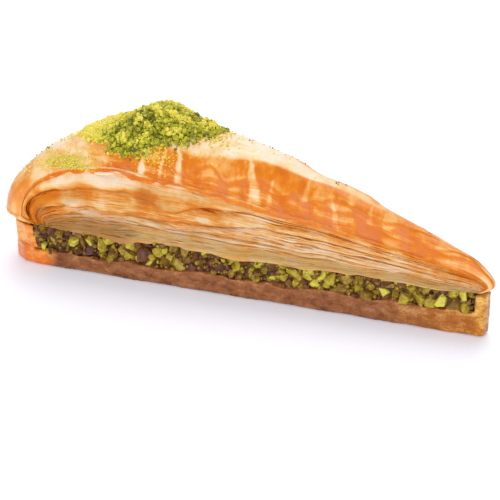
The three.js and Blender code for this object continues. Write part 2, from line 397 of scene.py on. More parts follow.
@dataclass(frozen=True)
class SliceShape:
    """The wedge cut from a round tray, in millimetres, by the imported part's own sizes."""

    half_angle: float = math.radians(10.5)
    tip_radius: float = 15.0
    rim_radius: float = 172.0
    tip_overhang: float = 2.5
    rim_overhang: float = 2.3
    tip_corner: float = 1.5
    rim_corner: float = 9.6
    base_corner: float = 13.0
    filling_corner: float = 9.2
    floor_at_tip: float = 7.6
    floor_at_rim: float = 5.2
    tip_wall: float = 2.3
    rim_wall: float = 7.0
    ceiling: float = 14.15
    unevenness: float = 0.35
    tip_nose: float = 16.0
    rim_nose: float = 15.8
    tip_rounding: float = 0.05
    dome_power: float = 2.7
    lean: float = 2.1
    lean_at_tip: float = 0.9
    lean_growth: float = 4.0
    crumple: float = 0.5
    ridge: CrownLine = CrownLine(20.4, 44.9, 0.69, 2.3, 0.62, 0.02)
    edge: CrownLine = CrownLine(18.7, 36.0, 0.785, 2.0, 0.45, 0.55)
    tip_end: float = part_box("upper_pastry")[1][0] / MM

    @property
    def tray_centre(self) -> float:
        """Returns where the middle of the tray lies along the slice."""
        return self.tip_end + self.tip_radius - self.tip_overhang

    @property
    def crown_length(self) -> float:
        """Returns the length of the crown from tip to rim."""
        return self.rim_radius + self.rim_overhang - self.tip_radius + self.tip_overhang

    @property
    def crown_tip(self) -> float:
        """Returns the tray radius at which the crown starts."""
        return self.tip_radius - self.tip_overhang

    def corner_cut(self, v: Array, corner: float, radius: float) -> Array:
        """Returns how much a rounded corner takes off the radius at a share across."""
        half_width = radius * math.sin(self.half_angle)
        start = 1.0 - corner / half_width
        turn = np.clip((np.abs(v) - start) / (1.0 - start), 0.0, 1.0)
        return corner * (1.0 - np.sqrt(1.0 - turn * turn))

    def radius_at(self, u: Any, v: Any, tip: float, rim: float, rim_corner: float) -> Array:
        """Returns the tray radius at a share of the way from tip to rim."""
        near = tip + self.corner_cut(v, self.tip_corner, tip)
        far = rim - self.corner_cut(v, rim_corner, rim)
        return near + (far - near) * u

    def on_tray(self, radius: Any, v: Any) -> Plan:
        """Returns the place on the floor of a tray radius and a share across."""
        angle = np.asarray(v) * self.half_angle
        return self.tray_centre - radius * np.cos(angle), radius * np.sin(angle)

    def tray_radius(self, x: Any, y: Any) -> Array:
        """Returns the tray radius of a place on the floor plan."""
        return np.hypot(self.tray_centre - x, y)

    def outward(self, v: Any) -> Plan:
        """Returns the direction out of the nearer cut face, fading to none in the middle."""
        return math.sin(self.half_angle) * np.abs(v), math.cos(self.half_angle) * np.asarray(v)

    def half_width(self, u: Any) -> Array:
        """Returns half the width of the crown at a share of the way."""
        return (self.crown_tip + self.crown_length * np.asarray(u)) * math.sin(self.half_angle)

    def lean_at(self, u: Any) -> Array:
        """Returns how far the crown's edge stands in from the cut."""
        return np.minimum(self.lean, self.lean_at_tip + self.lean_growth * np.asarray(u))

    def foot_plan(self, u: Any, v: Any) -> Plan:
        """Returns where a point of the upper pastry's foot stands on the floor plan."""
        return self.on_tray(self.radius_at(u, v, self.tip_radius, self.rim_radius, self.base_corner), v)

    def crown_plan(self, u: Any, v: Any) -> Plan:
        """Returns where a point of the crown stands on the floor plan."""
        rim = self.rim_radius + self.rim_overhang
        x, y = self.on_tray(self.radius_at(u, v, self.crown_tip, rim, self.rim_corner), v)
        out_x, out_y = self.outward(v)
        return x - out_x * self.lean_at(u), y - out_y * self.lean_at(u)

    def crown_height(self, u: Any, v: Any) -> Array:
        """Returns the height of the crown at a share along and a share across."""
        u = np.asarray(u, float)
        v = np.asarray(v, float)
        noses = (self.tip_nose, self.rim_nose, self.tip_rounding)
        ridge = self.ridge.height(u, *noses)
        edge = self.edge.height(u, *noses)
        waves = np.sin(46.0 * u + 2.2 * v) + 0.7 * np.sin(29.0 * u - 5.0 * v + 0.8)
        fade = np.sin(math.pi * np.clip(1.15 * u, 0.0, 1.0)) ** 0.5 * (1.0 - 0.4 * v * v)
        crumple = self.crumple * fade * waves * 0.6
        return edge + (ridge - edge) * (1.0 - np.abs(v) ** self.dome_power) + crumple

    def along_cut(self, x: Any) -> Array:
        """Returns the distance from the tray's middle along the cut."""
        return (self.tray_centre - x) / math.cos(self.half_angle)

    def ripple(self, x: Any, y: Any, phase: float) -> Array:
        """Returns the slow unevenness of the pocket's floor and ceiling."""
        along = self.along_cut(x)
        across = y / (along * math.sin(self.half_angle))
        return 0.7 * np.sin(0.31 * along + phase) + 0.3 * across * np.sin(0.17 * along + 2.0 * phase)

    def floor_height(self, x: Any, y: Any) -> Array:
        """Returns the height of the pocket's floor."""
        share = (self.along_cut(x) - self.tip_radius) / (self.rim_radius - self.tip_radius)
        level = blend(self.floor_at_tip, self.floor_at_rim, share)
        return level + self.unevenness * self.ripple(x, y, 0.4)

    def ceiling_height(self, x: Any, y: Any) -> Array:
        """Returns the height at which the upper pastry starts."""
        return self.ceiling + self.unevenness * self.ripple(x, y, 1.9)

    def in_pocket(self, x: Any, y: Any, lift: Any, gap: float = 0.0) -> Array:
        """Returns heights a share of the way up the pocket, which keep a gap to its floor and ceiling."""
        return blend(self.floor_height(x, y) + gap, self.ceiling_height(x, y) - gap, lift)

    def wall(self, u: Any, v: Any, rise: Any, out: Any = 0.0) -> Array:
        """Returns points of the upper pastry's side.

        Args:
            u: share of the way from tip to rim.
            v: share across, -1 and 1 at the two cuts.
            rise: share of the side's height, 0 at the filling and 1 at the crown.
            out: distance out of the side, in millimetres.

        Returns:
            One row of x, y and z for each point.
        """
        foot = self.foot_plan(u, v)
        crown = self.crown_plan(u, v)
        turn = np.sin(math.pi / 2.0 * np.clip(rise, 0.0, 1.0))
        out_x, out_y = self.outward(v)
        x = blend(foot[0], crown[0], turn) + out_x * out
        y = blend(foot[1], crown[1], turn) + out_y * out
        return as_rows(x, y, blend(self.ceiling_height(*foot), self.crown_height(u, v), rise))

    def wall_height(self, u: Any, v: Any) -> Array:
        """Returns the height of the upper pastry's side."""
        return self.wall(u, v, 1.0)[..., 2] - self.ceiling

    def crown_share(self, x: Any, y: Any) -> Plan:
        """Returns the share along and across of a place on the floor plan."""
        radius = self.tray_radius(x, y)
        u = np.clip((radius - self.crown_tip) / self.crown_length, 0.0, 1.0)
        width = radius * math.sin(self.half_angle) - self.lean_at(u) * math.cos(self.half_angle)
        return u, np.clip(y / width, -1.0, 1.0)


SHAPE = SliceShape()


# Finishes


class NodeBench:
    """Adds and links the nodes of one material or node group."""

    def __init__(self, tree: bpy.types.NodeTree) -> None:
        """Keeps the tree that the nodes go into."""
        self.tree = tree
        self.count = 0

    def add(self, kind: str, inputs: dict[Any, Any] | None = None, **settings: Any) -> bpy.types.Node:
        """Adds a node.

        Args:
            kind: the node's type name.
            inputs: what its inputs get, by their names or numbers.
            settings: the node's own properties.

        Returns:
            The node.
        """
        node = self.tree.nodes.new(kind)
        node.location = (180.0 * (self.count % 8), -220.0 * (self.count // 8))
        self.count += 1
        for name, value in settings.items():
            setattr(node, name, value)
        for title, value in (inputs or {}).items():
            self.feed(node.inputs[title], value)
        return node

    def feed(self, socket: Socket, value: Any) -> None:
        """Gives a socket a number, a colour or another node's output."""
        if isinstance(value, Socket):
            self.tree.links.new(value, socket)
        else:
            socket.default_value = value

    def maths(self, operation: str, *values: Any) -> Socket:
        """Returns the result of a Math node."""
        return self.add("ShaderNodeMath", dict(enumerate(values)), operation=operation).outputs[0]

    def vector(self, x: Any, y: Any, z: Any) -> Socket:
        """Returns a vector of three values."""
        return self.add("ShaderNodeCombineXYZ", {"X": x, "Y": y, "Z": z}).outputs[0]

    def mix(self, share: Any, first: Any, second: Any) -> Socket:
        """Returns a colour mixed from two by a share."""
        return self.add("ShaderNodeMix", {"Factor": share, 6: first, 7: second}, data_type="RGBA").outputs[2]

    def steps(self, value: Any, stops: Stops) -> Socket:
        """Returns a colour looked up on a ramp of stops."""
        node = self.add("ShaderNodeValToRGB", {"Fac": value})
        elements = node.color_ramp.elements
        while len(elements) < len(stops):
            elements.new(0.5)
        for element, (place, shade) in zip(elements, stops):
            element.position = place
            element.color = shade
        return node.outputs["Color"]

    def painted(self, name: str) -> Socket:
        """Returns the value that was painted on the points under a name."""
        return self.add("ShaderNodeAttribute", attribute_name=name).outputs["Fac"]

    def group(self, tree: bpy.types.NodeTree, **values: Any) -> bpy.types.Node:
        """Places a shared node group and gives it this material's values."""
        inputs = {name.title(): value for name, value in values.items()}
        return self.add("ShaderNodeGroup", inputs, node_tree=tree)

    def vary(self, level: Any, group: bpy.types.Node, weight: float, share: Any = None) -> Socket:
        """Returns a value moved up and down by a group's mask, as far as the weight and share say."""
        centred = self.maths("SUBTRACT", group.outputs["Mask"], 0.5)
        if share is not None:
            centred = self.maths("MULTIPLY", centred, share)
        return self.maths("MULTIPLY_ADD", centred, weight, level)


class EffectBench(NodeBench):
    """The nodes of one shared node group, which gives out a mask and a height."""

    def __init__(self, name: str, **inputs: float) -> None:
        """Makes the group.

        Args:
            name: the group's name.
            inputs: its input sockets and what they start from.
        """
        super().__init__(bpy.data.node_groups.new(name, "ShaderNodeTree"))
        for title, value in inputs.items():
            self.add_socket(title.title(), "INPUT").default_value = value
        for title in ("Mask", "Height"):
            self.add_socket(title, "OUTPUT")
        self.given = self.add("NodeGroupInput").outputs

    def add_socket(self, title: str, way: str) -> bpy.types.NodeTreeInterfaceSocket:
        """Adds a number socket to the group."""
        return self.tree.interface.new_socket(title, in_out=way, socket_type="NodeSocketFloat")

    def noise(self, place: Any, scale: float, detail: Any, roughness: float = 0.5) -> Socket:
        """Returns a noise pattern over places."""
        inputs = {"Vector": place, "Scale": scale, "Detail": detail, "Roughness": roughness}
        return self.add("ShaderNodeTexNoise", inputs, noise_dimensions="3D").outputs["Fac"]

    def close(self, pattern: Socket, low: Any, high: Any) -> bpy.types.NodeTree:
        """Gives out a pattern as the height and its soft-edged upper part as the mask.

        Args:
            pattern: the noise pattern.
            low: where the mask starts.
            high: where it is full.

        Returns:
            The finished group.
        """
        inputs = {"Value": pattern, "From Min": low, "From Max": high}
        span = self.add("ShaderNodeMapRange", inputs, interpolation_type="SMOOTHSTEP")
        self.add("NodeGroupOutput", {"Mask": span.outputs[0], "Height": pattern})
        return self.tree


class SharedEffects:
    """Node groups that several finishes use, each built once."""

    def __init__(self) -> None:
        """Builds the groups."""
        self.patches = self.build_patches()
        self.lamination = self.build_lamination()
        self.leaf_lines = self.build_leaf_lines()

    def build_patches(self) -> bpy.types.NodeTree:
        """Returns a group for soft patches, stretched upright, level or not at all."""
        bench = EffectBench(
            "Patches", size=4.0, length=1.0, height=1.0, low=0.4, high=0.6, detail=3.0, shift=0.0, turn=0.0
        )
        given = bench.given
        place = bench.add("ShaderNodeTexCoord").outputs["Object"]
        fine = bench.maths("DIVIDE", 1.0 / MM, given["Size"])
        along = bench.maths("DIVIDE", fine, given["Length"])
        stretch = bench.vector(along, fine, bench.maths("DIVIDE", fine, given["Height"]))
        inputs = {"Vector": place, "Angle": given["Turn"]}
        turned = bench.add("ShaderNodeVectorRotate", inputs, rotation_type="Z_AXIS").outputs[0]
        inputs = {0: turned, 1: stretch, 2: given["Shift"]}
        scaled = bench.add("ShaderNodeVectorMath", inputs, operation="MULTIPLY_ADD").outputs[0]
        pattern = bench.noise(scaled, 1.0, given["Detail"], 0.6)
        return bench.close(pattern, given["Low"], given["High"])

    def build_lamination(self) -> bpy.types.NodeTree:
        """Returns a group for the thin level lines of leaves pressed together."""
        bench = EffectBench("Lamination", pitch=0.5, waviness=1.0, shift=0.0)
        given = bench.given
        place = bench.add("ShaderNodeTexCoord").outputs["Object"]
        split = bench.add("ShaderNodeSeparateXYZ", {0: place}).outputs
        swayed = bench.maths("MULTIPLY_ADD", bench.noise(place, 90.0, 2.0), 1.2 * MM, split["Z"])
        level = bench.maths("MULTIPLY_ADD", swayed, 1.0 / MM, given["Shift"])
        level = bench.maths("DIVIDE", level, given["Pitch"])
        flat = [bench.maths("MULTIPLY", split[axis], 60.0) for axis in "XY"]
        wavy = [bench.maths("MULTIPLY", value, given["Waviness"]) for value in flat]
        return bench.close(bench.noise(bench.vector(*wavy, level), 1.0, 3.0, 0.65), 0.38, 0.62)

    def build_leaf_lines(self) -> bpy.types.NodeTree:
        """Returns a group for the fine lines of pressed leaves, along the way that they run."""
        bench = EffectBench("Leaf Lines", run=0.0, flow=0.0, count=60.0, pace=18.0, shift=0.0)
        given = bench.given
        along = bench.maths("MULTIPLY", given["Run"], given["Pace"])
        down = bench.maths("MULTIPLY", given["Flow"], given["Count"])
        pattern = bench.noise(bench.vector(along, down, given["Shift"]), 1.0, 3.0, 0.62)
        return bench.close(pattern, 0.36, 0.64)


EFFECTS = SharedEffects()


@dataclass(frozen=True)
class Surface:
    """The constant parts of a moist, slightly see-through food surface."""

    roughness: Pair = (0.35, 0.55)
    coat: Pair = (0.2, 0.6)
    coat_roughness: float = 0.15
    see_through: float = 0.2
    glow_depth: float = 1.2
    glow: tuple[float, float, float] = (1.0, 0.45, 0.15)
    bump: float = 0.3
    bump_depth: float = 0.15
    specular: float = 0.16

    def build(self, name: str, dress: Callable[[NodeBench], Varying]) -> bpy.types.Material:
        """Returns the finished material.

        Args:
            name: the material's name.
            dress: adds the nodes that vary and returns the colour, the gloss mask and the relief.

        Returns:
            A material with one Principled shader.
        """
        material = bpy.data.materials.new(name)
        material.use_nodes = True
        material.node_tree.nodes.clear()
        bench = NodeBench(material.node_tree)
        shader = bench.add("ShaderNodeBsdfPrincipled")
        bench.add("ShaderNodeOutputMaterial", {"Surface": shader.outputs[0]})
        base, gloss, relief = dress(bench)
        glossy, dull = self.roughness
        rough = bench.add("ShaderNodeMapRange", {"Value": gloss, "To Min": dull, "To Max": glossy})
        thin, thick = self.coat
        coat = bench.add("ShaderNodeMapRange", {"Value": gloss, "To Min": thin, "To Max": thick})
        strength = {"Strength": self.bump, "Distance": self.bump_depth * MM, "Height": relief}
        bump = bench.add("ShaderNodeBump", strength)
        looks = {
            "Base Color": base,
            "Roughness": rough.outputs[0],
            "Coat Weight": coat.outputs[0],
            "Coat Roughness": self.coat_roughness,
            "Specular IOR Level": self.specular,
            "Subsurface Weight": self.see_through,
            "Subsurface Radius": self.glow,
            "Subsurface Scale": self.glow_depth * MM,
            "Normal": bump.outputs[0],
        }
        for title, value in looks.items():
            bench.feed(shader.inputs[title], value)
        return material


class Finish:
    """What every finish has: a name, a surface, and nodes that vary over it."""

    name: str
    surface: Surface

    def dress(self, bench: NodeBench) -> Varying:
        """Adds the nodes and returns colour, gloss mask and relief."""
        raise NotImplementedError

    def material(self) -> bpy.types.Material:
        """Returns the material."""
        return self.surface.build(self.name, self.dress)


@dataclass(frozen=True)
class PastryFinish(Finish):
    """Baked leaves from pale cream to deep orange, soaked where the syrup stands."""

    name: str
    surface: Surface
    patchy: float = 0.3
    patch_size: float = 7.0
    patch_length: float = 1.0
    turn: float = 0.0
    streaky: float = 0.2
    lined: float = 0.3
    soaked: tuple = colour(162, 116, 42)
    soaked_lines: tuple = colour(236, 206, 124)
    shadow: tuple = colour(146, 92, 42)
    stops: Stops = colour_stops(
        (0.0, 251, 219, 194),
        (0.22, 249, 206, 156),
        (0.48, 243, 174, 93),
        (0.74, 231, 131, 20),
        (1.0, 219, 111, 4),
    )

    def dress(self, bench: NodeBench) -> Varying:
        """Adds the nodes and returns colour, gloss mask and relief."""
        form = {"size": self.patch_size, "length": self.patch_length, "turn": self.turn}
        blotches = bench.group(EFFECTS.patches, low=0.38, high=0.62, detail=4.0, **form)
        streaks = bench.group(EFFECTS.patches, size=1.6, length=5.0, low=0.3, high=0.7, shift=7.0)
        fine = bench.group(EFFECTS.patches, size=0.5, low=0.3, high=0.7, detail=2.0, shift=3.0)
        way = {"run": bench.painted("run"), "flow": bench.painted("flow")}
        lines = bench.group(EFFECTS.leaf_lines, count=64.0, pace=16.0, **way)
        hairs = bench.group(EFFECTS.leaf_lines, count=150.0, pace=30.0, shift=5.0, **way)
        seam = bench.painted("seam")
        level = bench.vary(bench.painted("bake"), blotches, self.patchy)
        level = bench.vary(level, streaks, self.streaky)
        level = bench.vary(level, lines, self.lined, seam)
        level = bench.vary(level, hairs, 0.7 * self.lined, seam)
        both = bench.maths("MULTIPLY_ADD", hairs.outputs["Mask"], 0.45, -0.1)
        both = bench.maths("MULTIPLY_ADD", lines.outputs["Mask"], 0.75, both)
        wet = bench.mix(both, self.soaked, self.soaked_lines)
        damp = bench.maths("MULTIPLY", bench.painted("soak"), 0.85)
        base = bench.mix(damp, bench.steps(level, self.stops), wet)
        base = bench.mix(bench.painted("shade"), base, self.shadow)
        relief = bench.maths("MULTIPLY_ADD", streaks.outputs["Height"], 0.6, fine.outputs["Height"])
        for group, weight in ((lines, 2.6), (hairs, 1.6)):
            lined = bench.maths("MULTIPLY", group.outputs["Height"], seam)
            relief = bench.maths("MULTIPLY_ADD", lined, weight, relief)
        gloss = bench.maths("MAXIMUM", bench.painted("shine"), blotches.outputs["Mask"])
        return base, gloss, relief


@dataclass(frozen=True)
class SoakedFinish(Finish):
    """The dense bottom leaves, dark with syrup, glossy orange at the rim and amber at the tip."""

    name: str = "syrup_soaked_base"
    surface: Surface = Surface((0.3, 0.5), (0.15, 0.6), see_through=0.25, bump=0.5, bump_depth=0.25)
    middle: Stops = colour_stops(
        (0.0, 88, 42, 20), (0.35, 134, 78, 38), (0.7, 162, 100, 52), (1.0, 200, 142, 84)
    )
    rim: Stops = colour_stops((0.0, 206, 86, 8), (0.5, 226, 122, 24), (1.0, 246, 186, 78))
    tip: Stops = colour_stops((0.0, 164, 88, 8), (0.5, 190, 112, 20), (1.0, 238, 192, 90))

    def dress(self, bench: NodeBench) -> Varying:
        """Adds the nodes and returns colour, gloss mask and relief."""
        soft = {"low": 0.3, "high": 0.7}
        blotches = bench.group(EFFECTS.patches, size=2.6, length=1.5, detail=4.0, shift=11.0, **soft)
        lines = bench.group(EFFECTS.lamination, pitch=0.8, waviness=6.0, shift=3.0)
        fine = bench.group(EFFECTS.patches, size=0.6, detail=2.0, shift=5.0, **soft)
        level = bench.maths("MULTIPLY_ADD", bench.painted("bake"), 0.6, -0.3)
        for group, weight in ((blotches, 0.45), (lines, 0.16), (fine, 0.22)):
            level = bench.maths("MULTIPLY_ADD", group.outputs["Mask"], weight, level)
        base = bench.steps(level, self.middle)
        base = bench.mix(bench.painted("rim"), base, bench.steps(level, self.rim))
        base = bench.mix(bench.painted("tip"), base, bench.steps(level, self.tip))
        relief = bench.maths("ADD", lines.outputs["Height"], fine.outputs["Height"])
        gloss = bench.maths("MAXIMUM", bench.painted("rim"), blotches.outputs["Mask"])
        return base, gloss, relief


@dataclass(frozen=True)
class NutFinish(Finish):
    """Chopped or ground pistachio, from yellow green to olive and purple brown skin."""

    name: str
    stops: Stops
    surface: Surface = Surface((0.35, 0.6), (0.05, 0.35), see_through=0.15, bump=0.4, bump_depth=0.12)
    grain: float = 0.45
    mottled: float = 0.25

    def dress(self, bench: NodeBench) -> Varying:
        """Adds the nodes and returns colour, gloss mask and relief."""
        patches = bench.group(EFFECTS.patches, size=1.4, low=0.35, high=0.65, shift=2.0)
        fine = bench.group(EFFECTS.patches, size=self.grain, low=0.3, high=0.7, detail=2.0, shift=9.0)
        level = bench.vary(bench.painted("tone"), patches, self.mottled)
        level = bench.vary(level, fine, 0.5 * self.mottled)
        return bench.steps(level, self.stops), patches.outputs["Mask"], fine.outputs["Height"]


# The upper pastry


@dataclass
class Crust:
    """The browned top leaf: crumpled skin over the crown that hangs a little over each cut.

    Attributes:
        shoulder: share along and share across of the points where the flat top meets the slope.
        folds: length, turn, phase and depth of each set of long folds.
        panels: spacing, slant, depth and seed of each set of flat creased panels.
        terraces: distance inward, depth and place in the noise of each torn edge.
        painted highlight streaks: share along, share across, length, width, amount and lean of each streak.
    """

    shape: SliceShape
    columns: int = 356
    rows: int = 112
    hang_rows: int = 5
    tuck_columns: int = 6
    closer_at_ends: float = 0.6
    closer_at_cuts: float = 0.9
    thickness: float = 0.35
    lift: float = 0.3
    hang: float = 0.07
    proud: float = 0.6
    shoulder_lift: float = 0.55
    shoulder: tuple = ((0.0, 0.2), (0.3, 0.25), (0.46, 0.42), (0.57, 0.66), (0.7, 0.74), (1.0, 0.74))
    folds: tuple = ((15.0, 0.22, 0.10, 0.20), (23.0, 0.85, 0.30, 0.22), (5.6, 0.12, 0.80, 0.06))
    panels: tuple = ((6.5, 0.30, 0.62, 21), (9.5, -0.42, 0.55, 22), (4.2, 0.05, 0.22, 23))
    terraces: tuple = ((1.0, 0.42, 31.0), (2.2, 0.36, 57.0), (4.4, 0.24, 83.0))
    painted_highlights: tuple = (
        (0.688, -0.87, 8.5, 1.3, 0.75, 0.35),
        (0.645, -0.82, 6.0, 0.6, 0.6, 0.3),
        (0.612, -0.79, 9.0, 1.2, 0.8, -0.12),
        (0.462, -0.72, 10.0, 1.9, 0.5, -0.25),
        (0.425, -0.80, 5.0, 0.9, 0.3, 0.2),
        (0.36, -0.60, 6.0, 1.2, 0.32, 0.3),
        (0.30, -0.82, 5.0, 1.0, 0.32, -0.3),
        (0.235, -0.55, 4.0, 0.9, 0.28, 0.2),
    )
    painted_highlight_way: Pair = (-0.42, 0.91)
    noise: SmoothNoise = SmoothNoise(11)

    def panel(self, along: Array, across: Array, number: int) -> Plan:
        """Returns the flat creased panels of one direction.

        Args:
            along: distance from the tip of each place.
            across: distance from the middle of each place.
            number: which set of panels.

        Returns:
            The height of each place and a shade that is the same all over a panel.
        """
        spacing, slant, depth, seed = self.panels[number]
        chance = np.random.default_rng(seed)
        count = int(self.shape.crown_length * 1.6 / spacing)
        knots = np.cumsum(chance.uniform(0.5, 1.5, count) * spacing) - 0.3 * self.shape.crown_length
        warp = 2.2 * self.noise(along / 17.0 + seed, across / 7.0)
        place = along + slant * across * np.sign(across + 0.01) + warp + np.where(across > 0.0, 31.0, 0.0)
        height = np.interp(place, knots, chance.uniform(-1.0, 1.0, count) * depth)
        shades = chance.uniform(-1.0, 1.0, count)
        return height, shades[np.clip(np.searchsorted(knots, place), 0, count - 1)]

    def shoulder_at(self, u: Array) -> Array:
        """Returns the share across at which the flat top meets the slope."""
        return np.interp(u, [stop[0] for stop in self.shoulder], [stop[1] for stop in self.shoulder])

    def relief(self, u: Array, v: Array) -> Array:
        """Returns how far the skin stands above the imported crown.

        Args:
            u: share of the way from tip to rim.
            v: share across.

        Returns:
            Heights in millimetres.
        """
        along = u * self.shape.crown_length
        across = v * self.shape.half_width(u)
        warp = 4.0 * self.noise(along / 21.0, across / 13.0)
        total = 0.0
        for length, turn, phase, depth in self.folds:
            wave = (along * math.cos(turn) + across * math.sin(turn) + warp) / length + phase
            total = total + depth * (4.0 * np.abs(wave - np.round(wave)) - 1.0)
        for number in range(len(self.panels)):
            total = total + self.panel(along, across, number)[0]
        slopes = 0.3 + 0.7 * ramp(np.abs(v), 0.25, 0.65)
        fade = ramp(u, 0.03, 0.2) * (1.0 - ramp(u, 0.93, 1.0)) * (1.0 - 0.6 * ramp(np.abs(v), 0.85, 1.0))
        at = self.shoulder_at(u)
        inner = np.clip(np.abs(v) / at, 0.0, 1.0)
        outer = np.clip((1.0 - np.abs(v)) / (1.0 - at), 0.0, 1.0)
        crease = self.shoulder_lift * np.where(np.abs(v) < at, inner, outer**1.3)
        crease = crease * np.where(v > 0.0, 0.5, 1.0) * ramp(u, 0.3, 0.55)
        return self.lift + total * slopes * fade + crease * fade - self.peeled(u, v)

    def from_edge(self, u: Array, v: Array) -> Array:
        """Returns the distance from the nearest cut or the rim, in millimetres."""
        to_cut = (1.0 - np.abs(v)) * self.shape.half_width(u)
        to_rim = (1.0 - u) * self.shape.crown_length * 1.2 + 0.5
        return np.minimum(to_cut, to_rim)

    def torn_edges(self, u: Array, v: Array) -> Iterator[tuple[float, Array]]:
        """Yields the depth of each torn edge along the cuts and how far inward of it each place lies."""
        along = u * self.shape.crown_length
        inward = self.from_edge(u, v)
        for place, depth, shift in self.terraces:
            edge = place * (1.0 + 0.7 * self.noise.rough(3, along / 9.0 + shift, np.sign(v) * 3.0))
            yield depth, inward - edge

    def peeled(self, u: Array, v: Array) -> Array:
        """Returns how much lower the skin lies where its outer leaves have broken off along a cut."""
        total = 0.0
        for depth, past in self.torn_edges(u, v):
            total = total + depth * (1.0 - ramp(past, -0.25, 0.25))
        return total * ramp(u, 0.03, 0.15)

    def painted_highlight(self, u: Array, v: Array) -> Array:
        """Returns how much each place belongs to one of the painted highlight streaks."""
        x, y = self.shape.crown_plan(u, v)
        total = 0.0
        for at_u, at_v, length, width, amount, lean in self.painted_highlights:
            middle_x, middle_y = self.shape.crown_plan(at_u, at_v)
            away_x = x - middle_x
            away_y = y - middle_y
            down = away_x * self.painted_highlight_way[0] + away_y * self.painted_highlight_way[1]
            side = away_x * self.painted_highlight_way[1] - away_y * self.painted_highlight_way[0]
            side = side - lean * down + 0.3 * width * self.noise(down / 1.6, at_u * 90.0)
            ends = 1.0 - ramp(np.abs(down) / length, 0.35, 0.6)
            taper = width * np.clip(0.75 - 1.1 * down / length, 0.15, 1.4)
            total = total + amount * ends * (1.0 - ramp(np.abs(side) / taper, 0.55, 1.15))
        return total

    def height_at(self, u: Array, v: Array) -> Array:
        """Returns the height of the skin at a share along and a share across."""
        return self.shape.crown_height(u, v) + self.relief(u, v)

    def height_over(self, x: Array, y: Array) -> Array:
        """Returns the height of the skin over a place on the floor plan."""
        return self.height_at(*self.shape.crown_share(x, y))

    def build(self) -> Piece:
        """Returns the skin as one closed thin sheet."""
        columns = self.columns + 2 * self.tuck_columns
        rows = self.rows + 2 * self.hang_rows
        sheet, column, row = grid_sheet("browned_crust", columns, rows)
        u = crowded(np.clip((column - self.tuck_columns) / self.columns, 0.0, 1.0), self.closer_at_ends)
        across = (row - self.hang_rows) / self.rows * 2.0 - 1.0
        v = np.sin(math.pi / 2.0 * np.clip(across, -1.0, 1.0) * self.closer_at_cuts)
        v = v / math.sin(math.pi / 2.0 * self.closer_at_cuts)
        tuck = np.maximum(self.tuck_columns - column, column - self.tuck_columns - self.columns)
        tuck = np.clip(tuck / self.tuck_columns, 0.0, 1.0)
        hang = np.clip((np.abs(across) - 1.0) / (2.0 * self.hang_rows / self.rows), 0.0, 1.0)
        x, y = self.shape.crown_plan(u, v)
        points = as_rows(x, y, self.height_at(u, v))
        length = u * self.shape.crown_length
        uneven = 1.0 + 0.7 * self.noise(length / 9.0, 5.0 * np.sign(v))
        uneven = uneven + 0.5 * self.noise(length / 2.3, v + 9.0)
        rise = np.clip(1.0 - np.maximum(hang * self.hang * uneven, tuck * 0.98), 0.0, 1.0)
        edge = self.shape.wall(u, np.sign(v), rise, self.proud * np.sin(math.pi / 2.0 * hang) + 0.1)
        edge[:, 2] += self.lift * (1.0 - hang) * (1.0 - tuck)
        ends = self.shape.wall(u, v, rise, 0.15)
        points = np.where((hang > 0.0)[:, None], edge, points)
        points = np.where(((tuck > 0.0) & (hang == 0.0))[:, None], ends, points)
        write_points(sheet, points)
        turn_outward(sheet, UP)
        self.tone(sheet, u, v, hang)
        thicken(sheet, self.thickness)
        smooth(sheet, 50.0)
        return sheet

    def tone(self, sheet: Piece, u: Array, v: Array, hang: Array) -> None:
        """Paints how far the skin is browned, with painted highlight streaks and a painted reflection that
        makes the flat top pale.

        Args:
            sheet: the skin.
            u: share along of each point.
            v: share across of each point.
            hang: share of the way down the hanging edge.
        """
        along = u * self.shape.crown_length
        across = v * self.shape.half_width(u)
        patches = self.noise.rough(3, along / 9.0, across / 12.0, 3.0)
        pale_rim = ramp(u, 0.66, 0.9)
        shades = 0.5 * self.panel(along, across, 0)[1] + 0.5 * self.panel(along, across, 1)[1]
        at = self.shoulder_at(u) + 0.03 * self.noise(along / 6.0, 70.0)
        flat = 1.0 - ramp(np.abs(v) - at, -0.1, 0.02)
        bake = 0.74 + 0.16 * patches + 0.16 * shades * (1.0 - flat) - 0.52 * pale_rim
        # Painted reflection: the flat top is painted almost white in place of the bright surroundings that it
        # mirrors.
        bake = blend(bake, 0.06 + 0.1 * patches, 0.85 * flat * (1.0 - 0.6 * pale_rim) * ramp(u, 0.15, 0.4))
        bake = bake + 0.25 * ramp(u, 0.93, 0.98) - 0.3 * (1.0 - ramp(u, 0.0, 0.16))
        # Painted highlights: the streaks are painted paler in place of reflected light.
        bake = bake + 0.06 * bell(u - 0.62, 0.08) - self.painted_highlight(u, v)
        for _, past in self.torn_edges(u, v):
            bake = bake - 0.1 * bell(past - 0.7, 0.5) * (1.0 - 0.8 * pale_rim)
            bake = bake + 0.28 * bell(past, 0.45) * (1.0 - 0.8 * pale_rim)
        inward = self.from_edge(u, v)
        paint(
            sheet,
            bake=blend(bake, 0.9, ramp(hang, 0.1, 0.5)),
            soak=0.0,
            shade=0.0,
            run=u,
            flow=np.clip(inward / 20.0, 0.0, 1.0) + 0.05 * hang,
            seam=0.75 * (1.0 - ramp(inward, 1.5, 6.0)) * (1.0 - 0.7 * pale_rim),
            shine=0.15 * flat * ramp(u, 0.2, 0.4) * (1.0 - ramp(u, 0.62, 0.75)),
        )


@dataclass(frozen=True)
class Leaf:
    """One thin leaf that comes out of the side and hangs down over the one below it."""

    seed: int
    rise: float
    drop: float
    long_drop: float
    proud: float
    dip: float = 0.0

    @property
    def kind(self) -> Layer:
        """Returns how the leaf is baked, by its height."""
        if self.rise < 0.24:
            return Layer.SOAKED
        return Layer.PALE if self.rise < 0.6 else Layer.BROWNED

    @property
    def hangs(self) -> bool:
        """Returns whether it hangs lower towards the rim."""
        return self.long_drop > self.drop

    @property
    def covers(self) -> bool:
        """Returns whether it hangs so low that it covers other leaves."""
        return self.long_drop > 0.15


